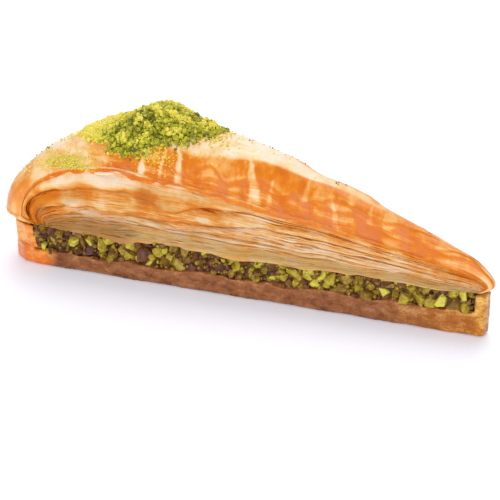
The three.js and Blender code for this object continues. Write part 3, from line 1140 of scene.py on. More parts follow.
@dataclass
class LeafStack:
    """All leaves of the upper pastry that show at the two cuts.

    Attributes:
        long_from: shares along between which a hanging leaf grows to its long drop.
        flaps: height, drop, long drop, distance out and dip of each hanging leaf.
        dip_at: place and width of the dip, along the cut.
        spots: share along, height and amount of each spot; a positive amount makes the leaf browner and adds
            painted shade, a negative one is a painted highlight.
        bottoms: the lower edges of the hanging leaves, for their shadows.
    """

    shape: SliceShape
    columns: int = 220
    levels: int = 140
    inner_rows: int = 2
    short_rows: int = 3
    long_rows: int = 8
    closer_at_ends: float = 0.62
    count: int = 21
    lowest: float = 0.02
    highest: float = 0.95
    depth: float = 2.4
    thickness: float = 0.24
    gap: float = 0.14
    slant: float = 0.95
    tuck: float = 0.25
    most_proud: float = 1.7
    long_from: Pair = (0.42, 0.66)
    flaps: tuple = (
        (0.355, 0.04, 0.085, 0.10, 0.0),
        (0.43, 0.05, 0.11, 0.15, 0.0),
        (0.655, 0.05, 0.235, 0.15, 0.0),
        (0.68, 0.06, 0.30, 0.25, 0.0),
        (0.90, 0.05, 0.205, 0.10, 0.1),
        (0.925, 0.07, 0.26, 0.30, 0.16),
        (0.965, 0.05, 0.055, 0.25, 0.0),
        (0.99, 0.04, 0.04, 0.35, 0.0),
    )
    thin_leaves: tuple = (0.043, 0.085, 0.13, 0.18)
    dip_at: Pair = (105.0, 6.5)
    gap_depth: float = 1.1
    spots: tuple = (
        (0.79, 0.8, -0.35), (0.7, 0.72, 0.35), (0.88, 0.6, 0.2), (0.86, 0.4, -0.2), (0.6, 0.85, 0.2)
    )
    spot_size: Pair = (0.045, 0.14)
    nest: float = 0.05
    nest_from: float = 0.76
    bottoms: dict = field(default_factory=dict)

    def leaves(self, side: Side) -> list[Leaf]:
        """Returns the leaves of one cut, from the lowest to the highest."""
        start = 500 if side is Side.NEAR else 900
        chance = np.random.default_rng(start)
        stack = []
        for index in range(self.count):
            rise = blend(self.lowest, self.highest, index / (self.count - 1))
            rise = rise + chance.uniform(-0.008, 0.008)
            drop = chance.uniform(0.018, 0.05) + 0.015 * (index < 1)
            stack.append(Leaf(start + index, rise, drop, drop, chance.uniform(-0.25, 0.35)))
        for index, (rise, drop, long_drop, proud, dip) in enumerate(self.flaps):
            stretch = 1.0 if side is Side.NEAR else chance.uniform(0.8, 1.1)
            stack.append(Leaf(start + 50 + index, rise, drop, long_drop * stretch, proud, dip))
        for index, rise in enumerate(self.thin_leaves):
            drop = 0.026 + 0.006 * index
            stack.append(Leaf(start + 80 + index, rise, drop, drop, 0.2 - 0.1 * index))
        return sorted(stack, key=lambda leaf: leaf.rise)

    def covered(self, leaf: Leaf) -> bool:
        """Returns whether a leaf lies under one of the long hanging leaves."""
        if leaf.hangs:
            return False
        covering = [flap for flap in (Leaf(0, *sizes) for sizes in self.flaps) if flap.covers]
        return any(flap.rise - flap.long_drop + 0.02 < leaf.rise < flap.rise for flap in covering)

    def nested(self, u: Array, rise: Array, side: Side) -> Array:
        """Returns the true rise of places on leaves that wrap round the rim one inside the other."""
        rise = np.clip(rise, -0.1, 1.0)
        end = 1.0 - self.nest * (1.0 - rise) ** 2
        onward = np.clip((u - self.nest_from) / (end - self.nest_from), 0.0, 1.0)
        wrapped = np.where(u > self.nest_from, blend(self.nest_from, 1.0, onward), u)
        return rise * self.shape.wall_height(wrapped, side.value) / self.shape.wall_height(u, side.value)

    def spaced(self, share: Any) -> Any:
        """Returns the share of the way down a leaf for an even share, closer together at its lip."""
        return 1.0 - (1.0 - share) ** 1.6

    def sway(self, u: Array, rise: float, noise: SmoothNoise) -> Array:
        """Returns how far all leaves near a height wander up and down together."""
        along = u * self.shape.crown_length
        slow = 0.026 * noise(along / 27.0, rise * 3.0)
        quick = 0.014 * noise(along / 7.5, rise * 9.0) + 0.007 * noise(along / 3.1, rise * 16.0)
        return (slow + quick) * math.sin(math.pi * min(1.0, rise + 0.12)) ** 0.5

    def fades(self, u: Array) -> Plan:
        """Returns how far the leaves keep their own form near the tip and near the rim."""
        return ramp(u, 0.0, 0.05), 1.0 - ramp(u, 0.84, 0.98)

    def outline(self, leaf: Leaf, u: Array, noise: SmoothNoise) -> Plan:
        """Returns how far a leaf's lip stands out and how far the leaf hangs, by column.

        Args:
            leaf: the leaf's sizes.
            u: share along of each column.
            noise: the leaf's own noise.
        """
        along = u * self.shape.crown_length
        broken = ramp(noise(along / 12.0 + 40.0), 0.35, 0.6)
        far_end = ramp(u, *self.long_from)
        loose = 1.0 - far_end * leaf.covers
        near_tip, near_rim = self.fades(u)
        edge = leaf.proud * (0.6 + 0.6 * noise(along / 17.0)) + 0.22 * noise(along / 4.2 + 9.0)
        edge = edge + 0.12 * noise(along / 1.1 + 3.0) - 0.55 * broken * loose
        if self.covered(leaf):
            edge = edge - 1.1 * far_end
        edge = edge * (0.3 + 0.7 * near_tip) * (0.2 + 0.8 * near_rim)
        sways = 0.14 * noise(along / 19.0 + 5.0) + 0.10 * noise(along / 6.5 + 2.0) + 0.05 * noise(along / 2.9)
        drop = blend(leaf.drop, leaf.long_drop, far_end)
        drop = drop * (1.0 + sways * (1.0 if leaf.covers else 2.2)) * (1.0 - 0.5 * broken * loose)
        drop = drop + leaf.dip * bell(along - self.dip_at[0], self.dip_at[1])
        drop = drop + 0.02 * (0.6 + noise(along / 8.0 + 17.0)) * (leaf.rise < 0.12)
        return edge, np.maximum(drop * (1.0 - 0.35 * ramp(u, 0.84, 0.97)), 0.008)

    def push_out(self, outs: Array, levels: Array, reach: Array) -> None:
        """Moves the hanging rows of a leaf out until they clear the leaves below."""
        picks = np.arange(self.columns + 1)
        for row in range(self.inner_rows + 1, outs.shape[1]):
            low = np.clip(np.floor(levels[:, row]).astype(int) - 1, 0, self.levels - 1)
            high = np.clip(low + 3, 0, self.levels - 1)
            taken = np.max([reach[picks, level] for level in (low, (low + high) // 2, high)], axis=0)
            outs[:, row] = np.maximum(outs[:, row], taken + self.gap)

    def even_out(self, outs: Array) -> None:
        """Evens the lip and the hanging rows of a leaf along the cut."""
        kernel = np.array([0.25, 0.5, 0.25])
        for row in range(self.inner_rows, outs.shape[1]):
            outs[:, row] = np.convolve(np.pad(outs[:, row], 1, mode="edge"), kernel, mode="valid")

    def raise_reach(self, outs: Array, levels: Array, reach: Array) -> None:
        """Brings up to date how far the leaves so far stand out."""
        for column in range(self.columns + 1):
            order = levels[column, self.inner_rows :][::-1]
            spans = np.arange(math.floor(order[0]), math.ceil(order[-1]) + 1)
            placed = np.interp(spans, order, outs[column, self.inner_rows :][::-1])
            reach[column, spans] = np.maximum(reach[column, spans], placed)

    def strip(self, leaf: Leaf, side: Side, reach: Array, shared: SmoothNoise) -> Piece:
        """Builds one leaf of one cut.

        Args:
            leaf: the leaf's sizes.
            side: the cut that it shows at.
            reach: how far the leaves so far stand out, by column and level, which is brought up to date.
            shared: the noise that all leaves wander by.

        Returns:
            The leaf as a closed thin sheet.
        """
        noise = SmoothNoise(leaf.seed)
        inner = self.inner_rows
        hanging = self.short_rows if leaf.long_drop < 0.07 else self.long_rows
        u = crowded(np.arange(self.columns + 1) / self.columns, self.closer_at_ends)
        along = u * self.shape.crown_length
        lip = leaf.rise + self.sway(u, leaf.rise, shared) + 0.013 * noise.rough(4, along / 7.0)
        edge, drop = self.outline(leaf, u, noise)
        rises = np.zeros((self.columns + 1, inner + hanging + 1))
        outs = np.zeros_like(rises)
        depth = np.minimum(self.depth, 0.3 * self.shape.half_width(u) + 0.4)
        for row in range(inner):
            back = 1.0 - row / inner
            rises[:, row] = lip + self.tuck * back / self.shape.wall_height(u, side.value)
            outs[:, row] = edge - self.tuck - depth * back
        ripple = 0.35 * noise(along / 5.5 + 60.0) + 0.2 * noise(along / 2.3 + 80.0)
        for row in range(hanging + 1):
            down = self.spaced(row / hanging)
            rises[:, inner + row] = lip - drop * down
            slant = self.slant * down**1.4 + 0.25 * math.sin(math.pi * down)
            slant = slant + ripple * math.sin(math.pi * 0.8 * down)
            outs[:, inner + row] = edge + slant * ramp(drop, 0.02, 0.2)
        levels = np.clip(rises, 0.0, 1.0) * (self.levels - 1)
        self.push_out(outs, levels, reach)
        near_tip, near_rim = self.fades(u)
        cap = self.most_proud * blend(0.25, 1.0, float(ramp(leaf.rise, 0.12, 0.5)))
        outs = np.minimum(outs, cap * (0.35 + 0.65 * (near_tip * near_rim))[:, None])
        self.even_out(outs)
        self.raise_reach(outs, levels, reach)
        if leaf.hangs:
            self.bottoms.setdefault(side, []).append((u, rises[:, -1], leaf.rise, noise))
        sheet, column, row = grid_sheet("leaf", self.columns, inner + hanging)
        rise = rises[column, row]
        true_rise = np.maximum(self.nested(u[column], rise, side), -0.09)
        write_points(sheet, self.shape.wall(u[column], side.value, true_rise, outs[column, row]))
        turn_outward(sheet, np.array([*self.shape.outward(side.value), 0.6]))
        down = self.spaced(np.clip((row - inner) / hanging, 0.0, 1.0))
        self.tone(sheet, u[column], rise, down, noise)
        thicken(sheet, self.thickness)
        return sheet

    def spot(self, u: Array, rise: Array, at_u: float, at_rise: float) -> Array:
        """Returns how much each place belongs to the spot of that middle."""
        away = ((u - at_u) / self.spot_size[0]) ** 2 + ((rise - at_rise) / self.spot_size[1]) ** 2
        return np.exp(-away)

    def tone(self, sheet: Piece, u: Array, rise: Array, down: Array, noise: SmoothNoise) -> None:
        """Paints how far a leaf is browned, soaked and darkened, with painted highlights as paler patches and
        spots.

        Args:
            sheet: the leaf's sheet.
            u: share along of each point.
            rise: share of the side's height of each point.
            down: share of the way down the hanging part.
            noise: the leaf's own noise.
        """
        along = u * self.shape.crown_length
        own = float(noise(77.0))
        left = ramp(u, 0.45, 0.65)
        on_left = 0.24 * ramp(rise, 0.25, 0.45) - 0.42 * ramp(rise, 0.72, 0.82)
        browned = 0.2 * ramp(rise, 0.4, 1.0) + left * on_left + 0.35 * ramp(u, 0.88, 0.97)
        bake = 0.27 + 0.12 * ramp(rise, 0.65, 0.95) * (1.0 - left) + browned + 0.09 * own
        bake = bake + 0.16 * noise.rough(2, along / 8.0, down)
        # Spots: positive ones browner, negative ones a painted highlight.
        for at_u, at_rise, amount in self.spots:
            bake = bake + amount * self.spot(u, rise, at_u, at_rise)
        lip = ramp(down, 0.84, 0.98) * ramp(rise, 0.25, 0.4)
        bake = blend(bake, 0.92, lip * blend(0.3, 0.9, ramp(u, 0.5, 0.65)))
        # Painted highlights: paler patches on the leaves' faces towards the rim end.
        bake = bake - 0.2 * ramp(noise.rough(2, along / 6.0, down * 1.2 + 5.0), 0.25, 0.6) * ramp(u, 0.4, 0.6)
        bake = bake + (0.12 + 0.12 * ramp(u, 0.7, 0.78)) * (1.0 - ramp(rise, 0.1, 0.45))
        bake = bake + 0.3 * (1.0 - ramp(u, 0.02, 0.2)) * rise
        soak = (1.0 - ramp(rise, 0.06, 0.34)) * (0.75 + 0.4 * noise(along / 8.0, 4.0))
        seam = (0.7 + 0.3 * left) * (1.0 - 0.45 * ramp(rise, 0.4, 0.75) * left)
        seam = seam * (1.0 - 0.6 * ramp(u, 0.84, 0.93))
        paint(sheet, bake=bake, soak=soak, run=u, flow=rise, seam=seam)

    def shade_gaps(self, piece: Piece) -> None:
        """Darkens leaves where they lie in the shadow under the edge of a hanging leaf."""
        run = read_paint(piece, "run")
        flow = read_paint(piece, "flow")
        near = read_points(piece)[:, 1] < 0.0
        along = run * self.shape.crown_length
        # Painted shade: darker lower down the side, most near the bottom at the rim end.
        shade = 0.42 * ramp(run, 0.72, 0.8) * (1.0 - ramp(flow, 0.2, 0.42))
        shade = shade + 0.1 * (1.0 - ramp(flow, 0.6, 0.75)) + 0.14 * (1.0 - ramp(flow, 0.1, 0.3))
        # Painted shade on the positive spots.
        for at_u, at_rise, amount in self.spots:
            shade = shade + max(amount, 0.0) * self.spot(run, flow, at_u, at_rise)
        open_part = ramp(run, 0.15, 0.6)
        before_rim = 1.0 - ramp(run, 0.82, 0.92)
        for side, edges in self.bottoms.items():
            here = near if side is Side.NEAR else ~near
            height = self.shape.wall_height(run, side.value)
            for shares, bottom, rise, noise in edges:
                below = (np.interp(run, shares, bottom) - flow) * height
                deep = np.exp(-np.maximum(below, 0.0) / self.gap_depth) * ramp(below, 0.03, 0.12)
                strength = (0.5 + 0.35 * noise(along / 7.0 + 30.0)) * (1.0 if rise < 0.7 else 0.7)
                shade = np.maximum(shade, here * deep * strength * open_part * before_rim)
        paint(piece, shade=shade)

    def build(self) -> dict[Layer, Piece]:
        """Returns one joined piece for each kind of leaf."""
        sheets: dict[Layer, list[Piece]] = {kind: [] for kind in Layer}
        for side in Side:
            reach = np.full((self.columns + 1, self.levels), -1.0)
            shared = SmoothNoise(41 if side is Side.NEAR else 43)
            for leaf in self.leaves(side):
                sheets[leaf.kind].append(self.strip(leaf, side, reach, shared))
        made = {kind: join(parts, f"{kind.value}_leaves") for kind, parts in sheets.items()}
        for piece in made.values():
            self.shade_gaps(piece)
            smooth(piece, 55.0)
        return made


@dataclass
class UpperCore:
    """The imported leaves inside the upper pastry, seen only in the gaps."""

    shape: SliceShape
    columns: int = 150
    side_rows: int = 14
    crown_rows: int = 40
    floor_rows: int = 8
    inset: Pair = (0.35, 1.1)
    below: float = 0.85
    ends: float = 0.015

    def build(self) -> Piece:
        """Returns the core as a closed body, rolled from one grid round its four sides."""
        rows = 2 * self.side_rows + self.crown_rows + self.floor_rows
        sheet, column, row = grid_sheet("inner_leaves", self.columns, rows)
        u = blend(self.ends, 1.0 - self.ends, column / self.columns)
        points = np.zeros((len(row), 3))
        row = row % rows
        up = row / self.side_rows
        from_foot = np.minimum(up, 2.0 + self.crown_rows / self.side_rows - up)
        inset = blend(*self.inset, ramp(from_foot, 0.15, 0.5))
        near = row < self.side_rows
        points[near] = self.shape.wall(u[near], -1.0, up[near], -inset[near])
        v = np.clip((row - self.side_rows) / self.crown_rows * 2.0 - 1.0, -1.0, 1.0)
        x, y = self.shape.crown_plan(u, v)
        out_x, out_y = self.shape.outward(v)
        z = self.shape.crown_height(u, v) - self.below
        top = (row >= self.side_rows) & (row <= self.side_rows + self.crown_rows)
        points[top] = as_rows(x - out_x * self.inset[1], y - out_y * self.inset[1], z)[top]
        down = 1.0 - (row - self.side_rows - self.crown_rows) / self.side_rows
        far = (down < 1.0) & (down >= 0.0)
        points[far] = self.shape.wall(u[far], 1.0, down[far], -inset[far])
        back = 1.0 - 2.0 * (row - 2 * self.side_rows - self.crown_rows) / self.floor_rows
        x, y = self.shape.foot_plan(u, back)
        under = down < 0.0
        points[under] = as_rows(x, y, self.shape.ceiling_height(x, y))[under]
        write_points(sheet, points)
        close_tube(sheet)
        self.tone(sheet)
        smooth(sheet, 40.0)
        return sheet

    def tone(self, sheet: Piece) -> None:
        """Paints the core like the leaves beside it, in shadow."""
        placed = read_points(sheet)
        height = placed[:, 2]
        paint(
            sheet,
            bake=0.3 + 0.3 * ramp(height, 14.0, 38.0),
            soak=1.0 - ramp(height, 15.0, 20.0),
            shade=0.35,
            run=placed[:, 0] / 160.0 + 0.5,
            flow=(height - 14.0) / 30.0,
            seam=1.0,
        )


@dataclass
class UpperPastry:
    """Crust, leaves and core of the upper pastry."""

    shape: SliceShape
    crust: Crust
    leaves: LeafStack
    core: UpperCore
    node: str = "upper_pastry"
    glossy: Surface = Surface((0.3, 0.5), (0.05, 0.5), 0.14, bump=0.4, bump_depth=0.2)
    dry: Surface = Surface((0.45, 0.65), (0.0, 0.2), 0.2, see_through=0.25, bump=0.6)
    wet: Surface = Surface((0.35, 0.55), (0.05, 0.3), 0.15, see_through=0.25, bump=0.6)

    def leaf_finish(self, kind: Layer, surface: Surface, **looks: float) -> bpy.types.Material:
        """Returns the material of one kind of leaf."""
        return PastryFinish(f"{kind.value}_leaves", surface, **looks).material()

    def build(self) -> None:
        """Builds and dresses all pieces of the upper pastry."""
        patches = {"patchy": 0.32, "patch_size": 9.0, "patch_length": 0.55, "turn": math.radians(-25.0)}
        crust = PastryFinish("browned_crust", self.glossy, streaky=0.06, lined=0.26, **patches)
        finish_piece(self.crust.build(), crust.material(), self.node)
        finishes = {
            Layer.BROWNED: self.leaf_finish(Layer.BROWNED, self.dry, patchy=0.24, streaky=0.16, lined=0.36),
            Layer.PALE: self.leaf_finish(Layer.PALE, self.dry, patchy=0.2, streaky=0.16, lined=0.5),
            Layer.SOAKED: self.leaf_finish(Layer.SOAKED, self.wet, patchy=0.2, streaky=0.2, lined=0.75),
        }
        for kind, piece in self.leaves.build().items():
            finish_piece(piece, finishes[kind], self.node)
        finish_piece(self.core.build(), finishes[Layer.PALE], self.node)


# The bottom pastry


@dataclass
class BasePastry:
    """The dense soaked leaves under the filling, with a smooth rim and tip."""

    shape: SliceShape
    node: str = "base_pastry"
    voxel: float = 0.62
    upright: float = 2.4
    tip_reach: float = 1.0
    rim_top: float = 0.8
    rim_foot: float = 1.6
    shrink: float = 0.12
    noise: SmoothNoise = SmoothNoise(71)

    def copy_node(self) -> Piece:
        """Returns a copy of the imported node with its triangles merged."""
        deselect()
        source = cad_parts[self.node]
        piece = source.copy()
        piece.data = source.data.copy()
        piece.name = "soaked_base"
        piece.parent = None
        bpy.context.scene.collection.objects.link(piece)
        with editing(piece):
            bpy.ops.mesh.remove_doubles(threshold=0.002 * MM)
        return piece

    def build(self) -> Piece:
        """Returns the base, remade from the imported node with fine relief."""
        piece = self.copy_node()
        points = read_points(piece)
        points[:, 2] *= self.upright
        write_points(piece, points)
        apply_modifier(piece, "REMESH", mode="VOXEL", voxel_size=self.voxel * MM)
        points = read_points(piece)
        points[:, 2] /= self.upright
        write_points(piece, points)
        points = points + read_rows(piece, "normal") * self.relief(points)[:, None]
        x, y, z = points.T
        lumps = 0.8 * self.noise.rough(2, x / 3.5, y / 3.5) * ramp(z, 3.0, 5.5) * (1.0 - ramp(z, 9.0, 12.0))
        points[:, 2] = np.maximum(z + lumps, 0.0)
        from_tip = self.shape.tray_radius(x, y) - self.shape.tip_radius
        points[:, 0] += self.tip_reach * (1.0 - ramp(from_tip, 0.4, 1.9))
        points[:, 0] += self.thicker_rim(points)
        write_points(piece, points)
        self.tone(piece, points)
        smooth(piece, 60.0)
        return piece

    def thicker_rim(self, points: Array) -> Array:
        """Returns how far the inner face of the rim moves over the ends of the filling."""
        x, y, z = points.T
        radius = self.shape.tray_radius(x, y)
        lift = z - self.shape.floor_height(x, y)
        wall = self.shape.rim_radius - self.shape.rim_wall - self.shape.filling_corner + 2.0
        reach = self.rim_top + self.rim_foot * (1.0 - ramp(lift, 0.5, 7.0))
        reach = reach + 0.5 * self.noise(z / 2.0, y / 3.0)
        inside = ramp(radius, wall, wall + 1.5) * (1.0 - ramp(radius, wall + 7.0, wall + 12.0))
        return reach * inside * ramp(lift, 0.2, 0.9)

    def relief(self, points: Array) -> Array:
        """Returns how far each point moves out along its normal."""
        x, y, z = points.T
        level = z / 0.85 + 0.6 * self.noise(x / 9.0, y / 9.0)
        layers = 0.12 * self.noise(x / 6.0, y / 6.0, level)
        lumps = 0.5 * self.noise.rough(3, x / 4.5, y / 4.5, z / 3.0)
        lumps = lumps - 0.3 * (1.0 - ramp(z, 0.2, 1.6)) * (0.5 + 0.5 * self.noise(x / 5.0 + 7.0, y / 5.0))
        ends = np.maximum(*self.ends(x, y))
        on_side = ramp(z, 0.3, 0.9)
        return (layers + lumps) * (1.0 - 0.75 * ends) * (0.4 + 0.6 * on_side) - self.shrink

    def ends(self, x: Array, y: Array) -> Plan:
        """Returns how much each place belongs to the rim and to the tip."""
        radius = self.shape.tray_radius(x, y)
        rim = ramp(radius, self.shape.rim_radius - 21.0, self.shape.rim_radius - 15.0)
        tip = 1.0 - ramp(radius, self.shape.tip_radius + 1.0, self.shape.tip_radius + 4.0)
        return rim, tip

    def tone(self, piece: Piece, points: Array) -> None:
        """Paints browning, rim and tip on the base."""
        x, y, z = points.T
        rim, tip = self.ends(x, y)
        amber = 0.7 * (1.0 - ramp(self.shape.tray_radius(x, y), 20.0, 50.0))
        bake = 0.5 + 0.25 * ramp(z, 1.0, 6.0) - 0.25 * (1.0 - ramp(z, 0.0, 1.6))
        bake = bake + 0.35 * tip * ramp(z, 1.0, 7.0) + 0.15 * self.noise(x / 14.0, y / 14.0, z / 5.0)
        paint(piece, bake=bake, rim=rim, tip=np.maximum(tip, amber))

    def dress(self) -> None:
        """Builds the base and gives it its finish."""
        finish_piece(self.build(), SoakedFinish().material(), self.node)


# Nuts and grains


@dataclass(frozen=True)
class Chip:
    """The points and triangles of one small modelled bit, about one unit across its radius."""

    points: Array
    faces: Array


def model_chip(seed: int, cuts: int, subdivisions: int) -> Chip:
    """Models one chopped bit: a small ball with flats cut off it.

    Args:
        seed: which bit it is.
        cuts: number of flat cuts.
        subdivisions: fineness of the ball that it starts from.

    Returns:
        The bit's points and triangles.
    """
    chance = np.random.default_rng(seed)
    deselect()
    bpy.ops.mesh.primitive_ico_sphere_add(subdivisions=subdivisions, radius=1.0)
    bit = bpy.context.active_object
    with editing(bit):
        for _ in range(cuts):
            way = chance.normal(size=3)
            way = way / np.linalg.norm(way)
            place = way * chance.uniform(0.4, 0.72)
            bpy.ops.mesh.select_all(action="SELECT")
            bpy.ops.mesh.bisect(plane_co=tuple(place), plane_no=tuple(way), use_fill=True, clear_outer=True)
        bpy.ops.mesh.select_all(action="SELECT")
        bpy.ops.mesh.remove_doubles(threshold=0.12)
        bpy.ops.mesh.quads_convert_to_tris()
    bit.data.calc_loop_triangles()
    points = read_points(bit) * MM
    points = points * (1.0 + chance.uniform(-0.1, 0.1, size=points.shape))
    faces = np.array([triangle.vertices[:] for triangle in bit.data.loop_triangles])
    bpy.data.objects.remove(bit, do_unlink=True)
    return Chip(points, faces)


def model_chips(seed: int, kinds: int, cuts: int, subdivisions: int) -> list[Chip]:
    """Models several kinds of chopped bits, with seeds from the given one on."""
    return [model_chip(seed + kind, cuts, subdivisions) for kind in range(kinds)]


def random_turns(chance: Chance, count: int) -> Array:
    """Returns random rotations as three by three matrices."""
    spins = chance.normal(size=(count, 4))
    w, x, y, z = (spins / np.linalg.norm(spins, axis=1)[:, None]).T
    rows = (
        (1 - 2 * (y * y + z * z), 2 * (x * y - z * w), 2 * (x * z + y * w)),
        (2 * (x * y + z * w), 1 - 2 * (x * x + z * z), 2 * (y * z - x * w)),
        (2 * (x * z - y * w), 2 * (y * z + x * w), 1 - 2 * (x * x + y * y)),
    )
    return np.stack([np.stack(row, axis=-1) for row in rows], axis=1)


@dataclass
class Scatter:
    """Many small bits gathered into one piece."""

    chips: Sequence[Chip]
    seed: int
    places: list = field(default_factory=list)
    sizes: list = field(default_factory=list)
    tones: list = field(default_factory=list)

    def drop(self, places: Array, sizes: Array, tones: Array) -> None:
        """Adds bits.

        Args:
            places: the middle of each, in millimetres.
            sizes: the radius of each along its three axes.
            tones: the shade of each, from 0 to 1.
        """
        self.places.append(places)
        self.sizes.append(sizes)
        self.tones.append(tones)

    def build(self, name: str, sharp: float) -> Piece:
        """Returns all bits as one piece, shaded smooth below the sharp angle."""
        chance = np.random.default_rng(self.seed)
        places, sizes, tones = [np.concatenate(parts) for parts in (self.places, self.sizes, self.tones)]
        turns = random_turns(chance, len(places))
        kinds = chance.integers(0, len(self.chips), len(places))
        points = []
        faces = []
        shades = []
        start = 0
        for kind, chip in enumerate(self.chips):
            picks = np.flatnonzero(kinds == kind)
            shaped = chip.points[None, :, :] * sizes[picks][:, None, :]
            shaped = np.einsum("nij,nkj->nki", turns[picks], shaped) + places[picks][:, None, :]
            points.append(shaped.reshape(-1, 3))
            steps = start + np.arange(len(picks)) * len(chip.points)
            faces.append((chip.faces[None, :, :] + steps[:, None, None]).reshape(-1, 3))
            shades.append(np.repeat(tones[picks], len(chip.points)))
            start += len(picks) * len(chip.points)
        mesh = bpy.data.meshes.new(name)
        mesh.from_pydata((np.concatenate(points) * MM).tolist(), [], np.concatenate(faces).tolist())
        piece = place_object(name, mesh)
        paint(piece, tone=np.concatenate(shades))
        smooth(piece, sharp)
        return piece


@dataclass
class Filling:
    """Chopped pistachio between the two pastries, with a dark body of painted shade in the gaps behind the
    bits.

    Attributes:
        classes: smallest size, largest size and number of tries of each size class.
    """

    shape: SliceShape
    node: str = "pistachio_filling"
    kinds: int = 7
    dust_kinds: int = 5
    classes: tuple = ((1.9, 2.7, 420), (1.1, 1.7, 900), (0.6, 1.0, 1200))
    packing: float = 0.68
    core_inset: float = 1.7
    rim_gap: float = 1.9
    crumbs: int = 360
    behind: int = 420
    in_corner: int = 90
    clearance: float = 0.6
    sharp: float = 38.0
    columns: int = 220
    rows: int = 48
    stops: Stops = colour_stops(
        (0.0, 212, 200, 76), (0.3, 176, 152, 44), (0.58, 132, 98, 36), (0.8, 118, 70, 38), (1.0, 82, 46, 46)
    )
    # Painted shade colours of the dark body in the gaps.
    shadow_stops: Stops = colour_stops((0.0, 132, 104, 44), (0.5, 98, 66, 32), (1.0, 48, 28, 18))
    noise: SmoothNoise = SmoothNoise(57)

    def span(self) -> Pair:
        """Returns the tray radii between which the filling shows at the cut."""
        near = self.shape.tip_radius + self.shape.tip_wall
        far = self.shape.rim_radius - self.shape.rim_wall - self.shape.filling_corner + self.rim_gap
        return near, far

    def at_cut(self, radius: Array, side: Side, out: Array) -> Plan:
        """Returns the floor plan of places near a cut."""
        x, y = self.shape.on_tray(radius, side.value)
        out_x, out_y = self.shape.outward(side.value)
        return x + out_x * out, y + out_y * out

    def packed(self, chance: Chance, side: Side) -> Array:
        """Returns tray radius, height and size of bits that lie close together at a cut."""
        near, far = self.span()
        taken = np.zeros((0, 3))
        for small, large, tries in self.classes:
            for _ in range(tries):
                size = chance.uniform(small, large)
                radius = chance.uniform(near + size * 0.6, far - size * 0.4)
                x, y = self.at_cut(radius, side, 0.0)
                low = self.shape.floor_height(x, y) + size * chance.uniform(0.0, 0.4)
                z = chance.uniform(low, self.shape.ceiling_height(x, y) - size * 0.52)
                apart = np.hypot(taken[:, 0] - radius, taken[:, 1] - z)
                if np.all(apart >= self.packing * (taken[:, 2] + size)):
                    taken = np.vstack((taken, (radius, z, size)))
        return taken

    def pack_cut(self, side: Side, scatter: Scatter, dust: Scatter) -> None:
        """Packs the bits that show at one cut.

        Args:
            side: which cut.
            scatter: takes the bits.
            dust: takes the crumbs between them.
        """
        chance = np.random.default_rng(301 if side is Side.NEAR else 302)
        near, far = self.span()
        radius, z, size = self.packed(chance, side).T
        out = 0.25 - size * chance.uniform(0.6, 1.25, len(size))
        sizes = size[:, None] * chance.uniform(0.75, 1.35, (len(size), 3))
        tones = self.tones(chance, radius)
        green = np.clip(tones + 0.14 - 0.3 * ramp(size, 1.0, 2.2), 0.0, 0.8)
        scatter.drop(as_rows(*self.at_cut(radius, side, out), z), sizes, np.where(tones < 0.8, green, tones))
        radius = chance.uniform(near, far + 0.6, self.crumbs)
        x, y = self.at_cut(radius, side, chance.uniform(-1.3, -0.2, self.crumbs))
        z = self.shape.in_pocket(x, y, chance.uniform(0.05, 0.95, self.crumbs))
        sizes = chance.uniform(0.25, 0.6, (self.crumbs, 1)) * chance.uniform(0.7, 1.3, (self.crumbs, 3))
        dust.drop(as_rows(x, y, z), sizes, 0.25 + self.tones(chance, radius) * 0.45)
        # Bits behind the first ones get darker tones, a painted shade.
        radius = chance.uniform(near + 1.5, far - 1.0, self.behind)
        out = -chance.uniform(2.2, 3.4, self.behind)
        scatter.drop(*self.inner_bits(chance, side, radius, out, (0.9, 1.7), (0.5, 0.9)))
        out = -chance.uniform(0.8, 8.0, self.in_corner)
        radius = far + chance.uniform(-2.0, 0.6, self.in_corner) + 0.85 * np.minimum(-out, 4.0)
        scatter.drop(*self.inner_bits(chance, side, radius, out, (1.0, 1.8), (0.3, 0.9)))

    def inner_bits(
        self, chance: Chance, side: Side, radius: Array, out: Array, size: Pair, shades: Pair
    ) -> tuple[Array, Array, Array]:
        """Returns the places, sizes and shades of bits that lie behind the first ones, kept darker as painted
        shade.

        Args:
            chance: the source of random draws.
            side: which cut.
            radius: the tray radius of each bit.
            out: how far each lies out of the cut.
            size: smallest and largest radius of a bit.
            shades: the shade of the greenest and of the brownest bit.
        """
        count = len(radius)
        x, y = self.at_cut(radius, side, out)
        z = self.shape.in_pocket(x, y, chance.uniform(size=count), self.clearance)
        sizes = chance.uniform(*size, (count, 1)) * chance.uniform(0.8, 1.2, (count, 3))
        return as_rows(x, y, z), sizes, blend(*shades, self.tones(chance, radius))

    def tones(self, chance: Chance, radius: Array) -> Array:
        """Returns the shades of bits: mostly green, some olive, a few with brown skin."""
        tones = 0.04 + chance.beta(1.3, 1.35, len(radius)) * 0.8
        inner = ramp(radius, 110.0, 150.0) + 0.5 * (1.0 - ramp(radius, 19.0, 32.0))
        skins = chance.uniform(size=len(radius)) < 0.14 + 0.22 * inner
        return np.where(skins, chance.uniform(0.82, 1.0, len(radius)), tones)

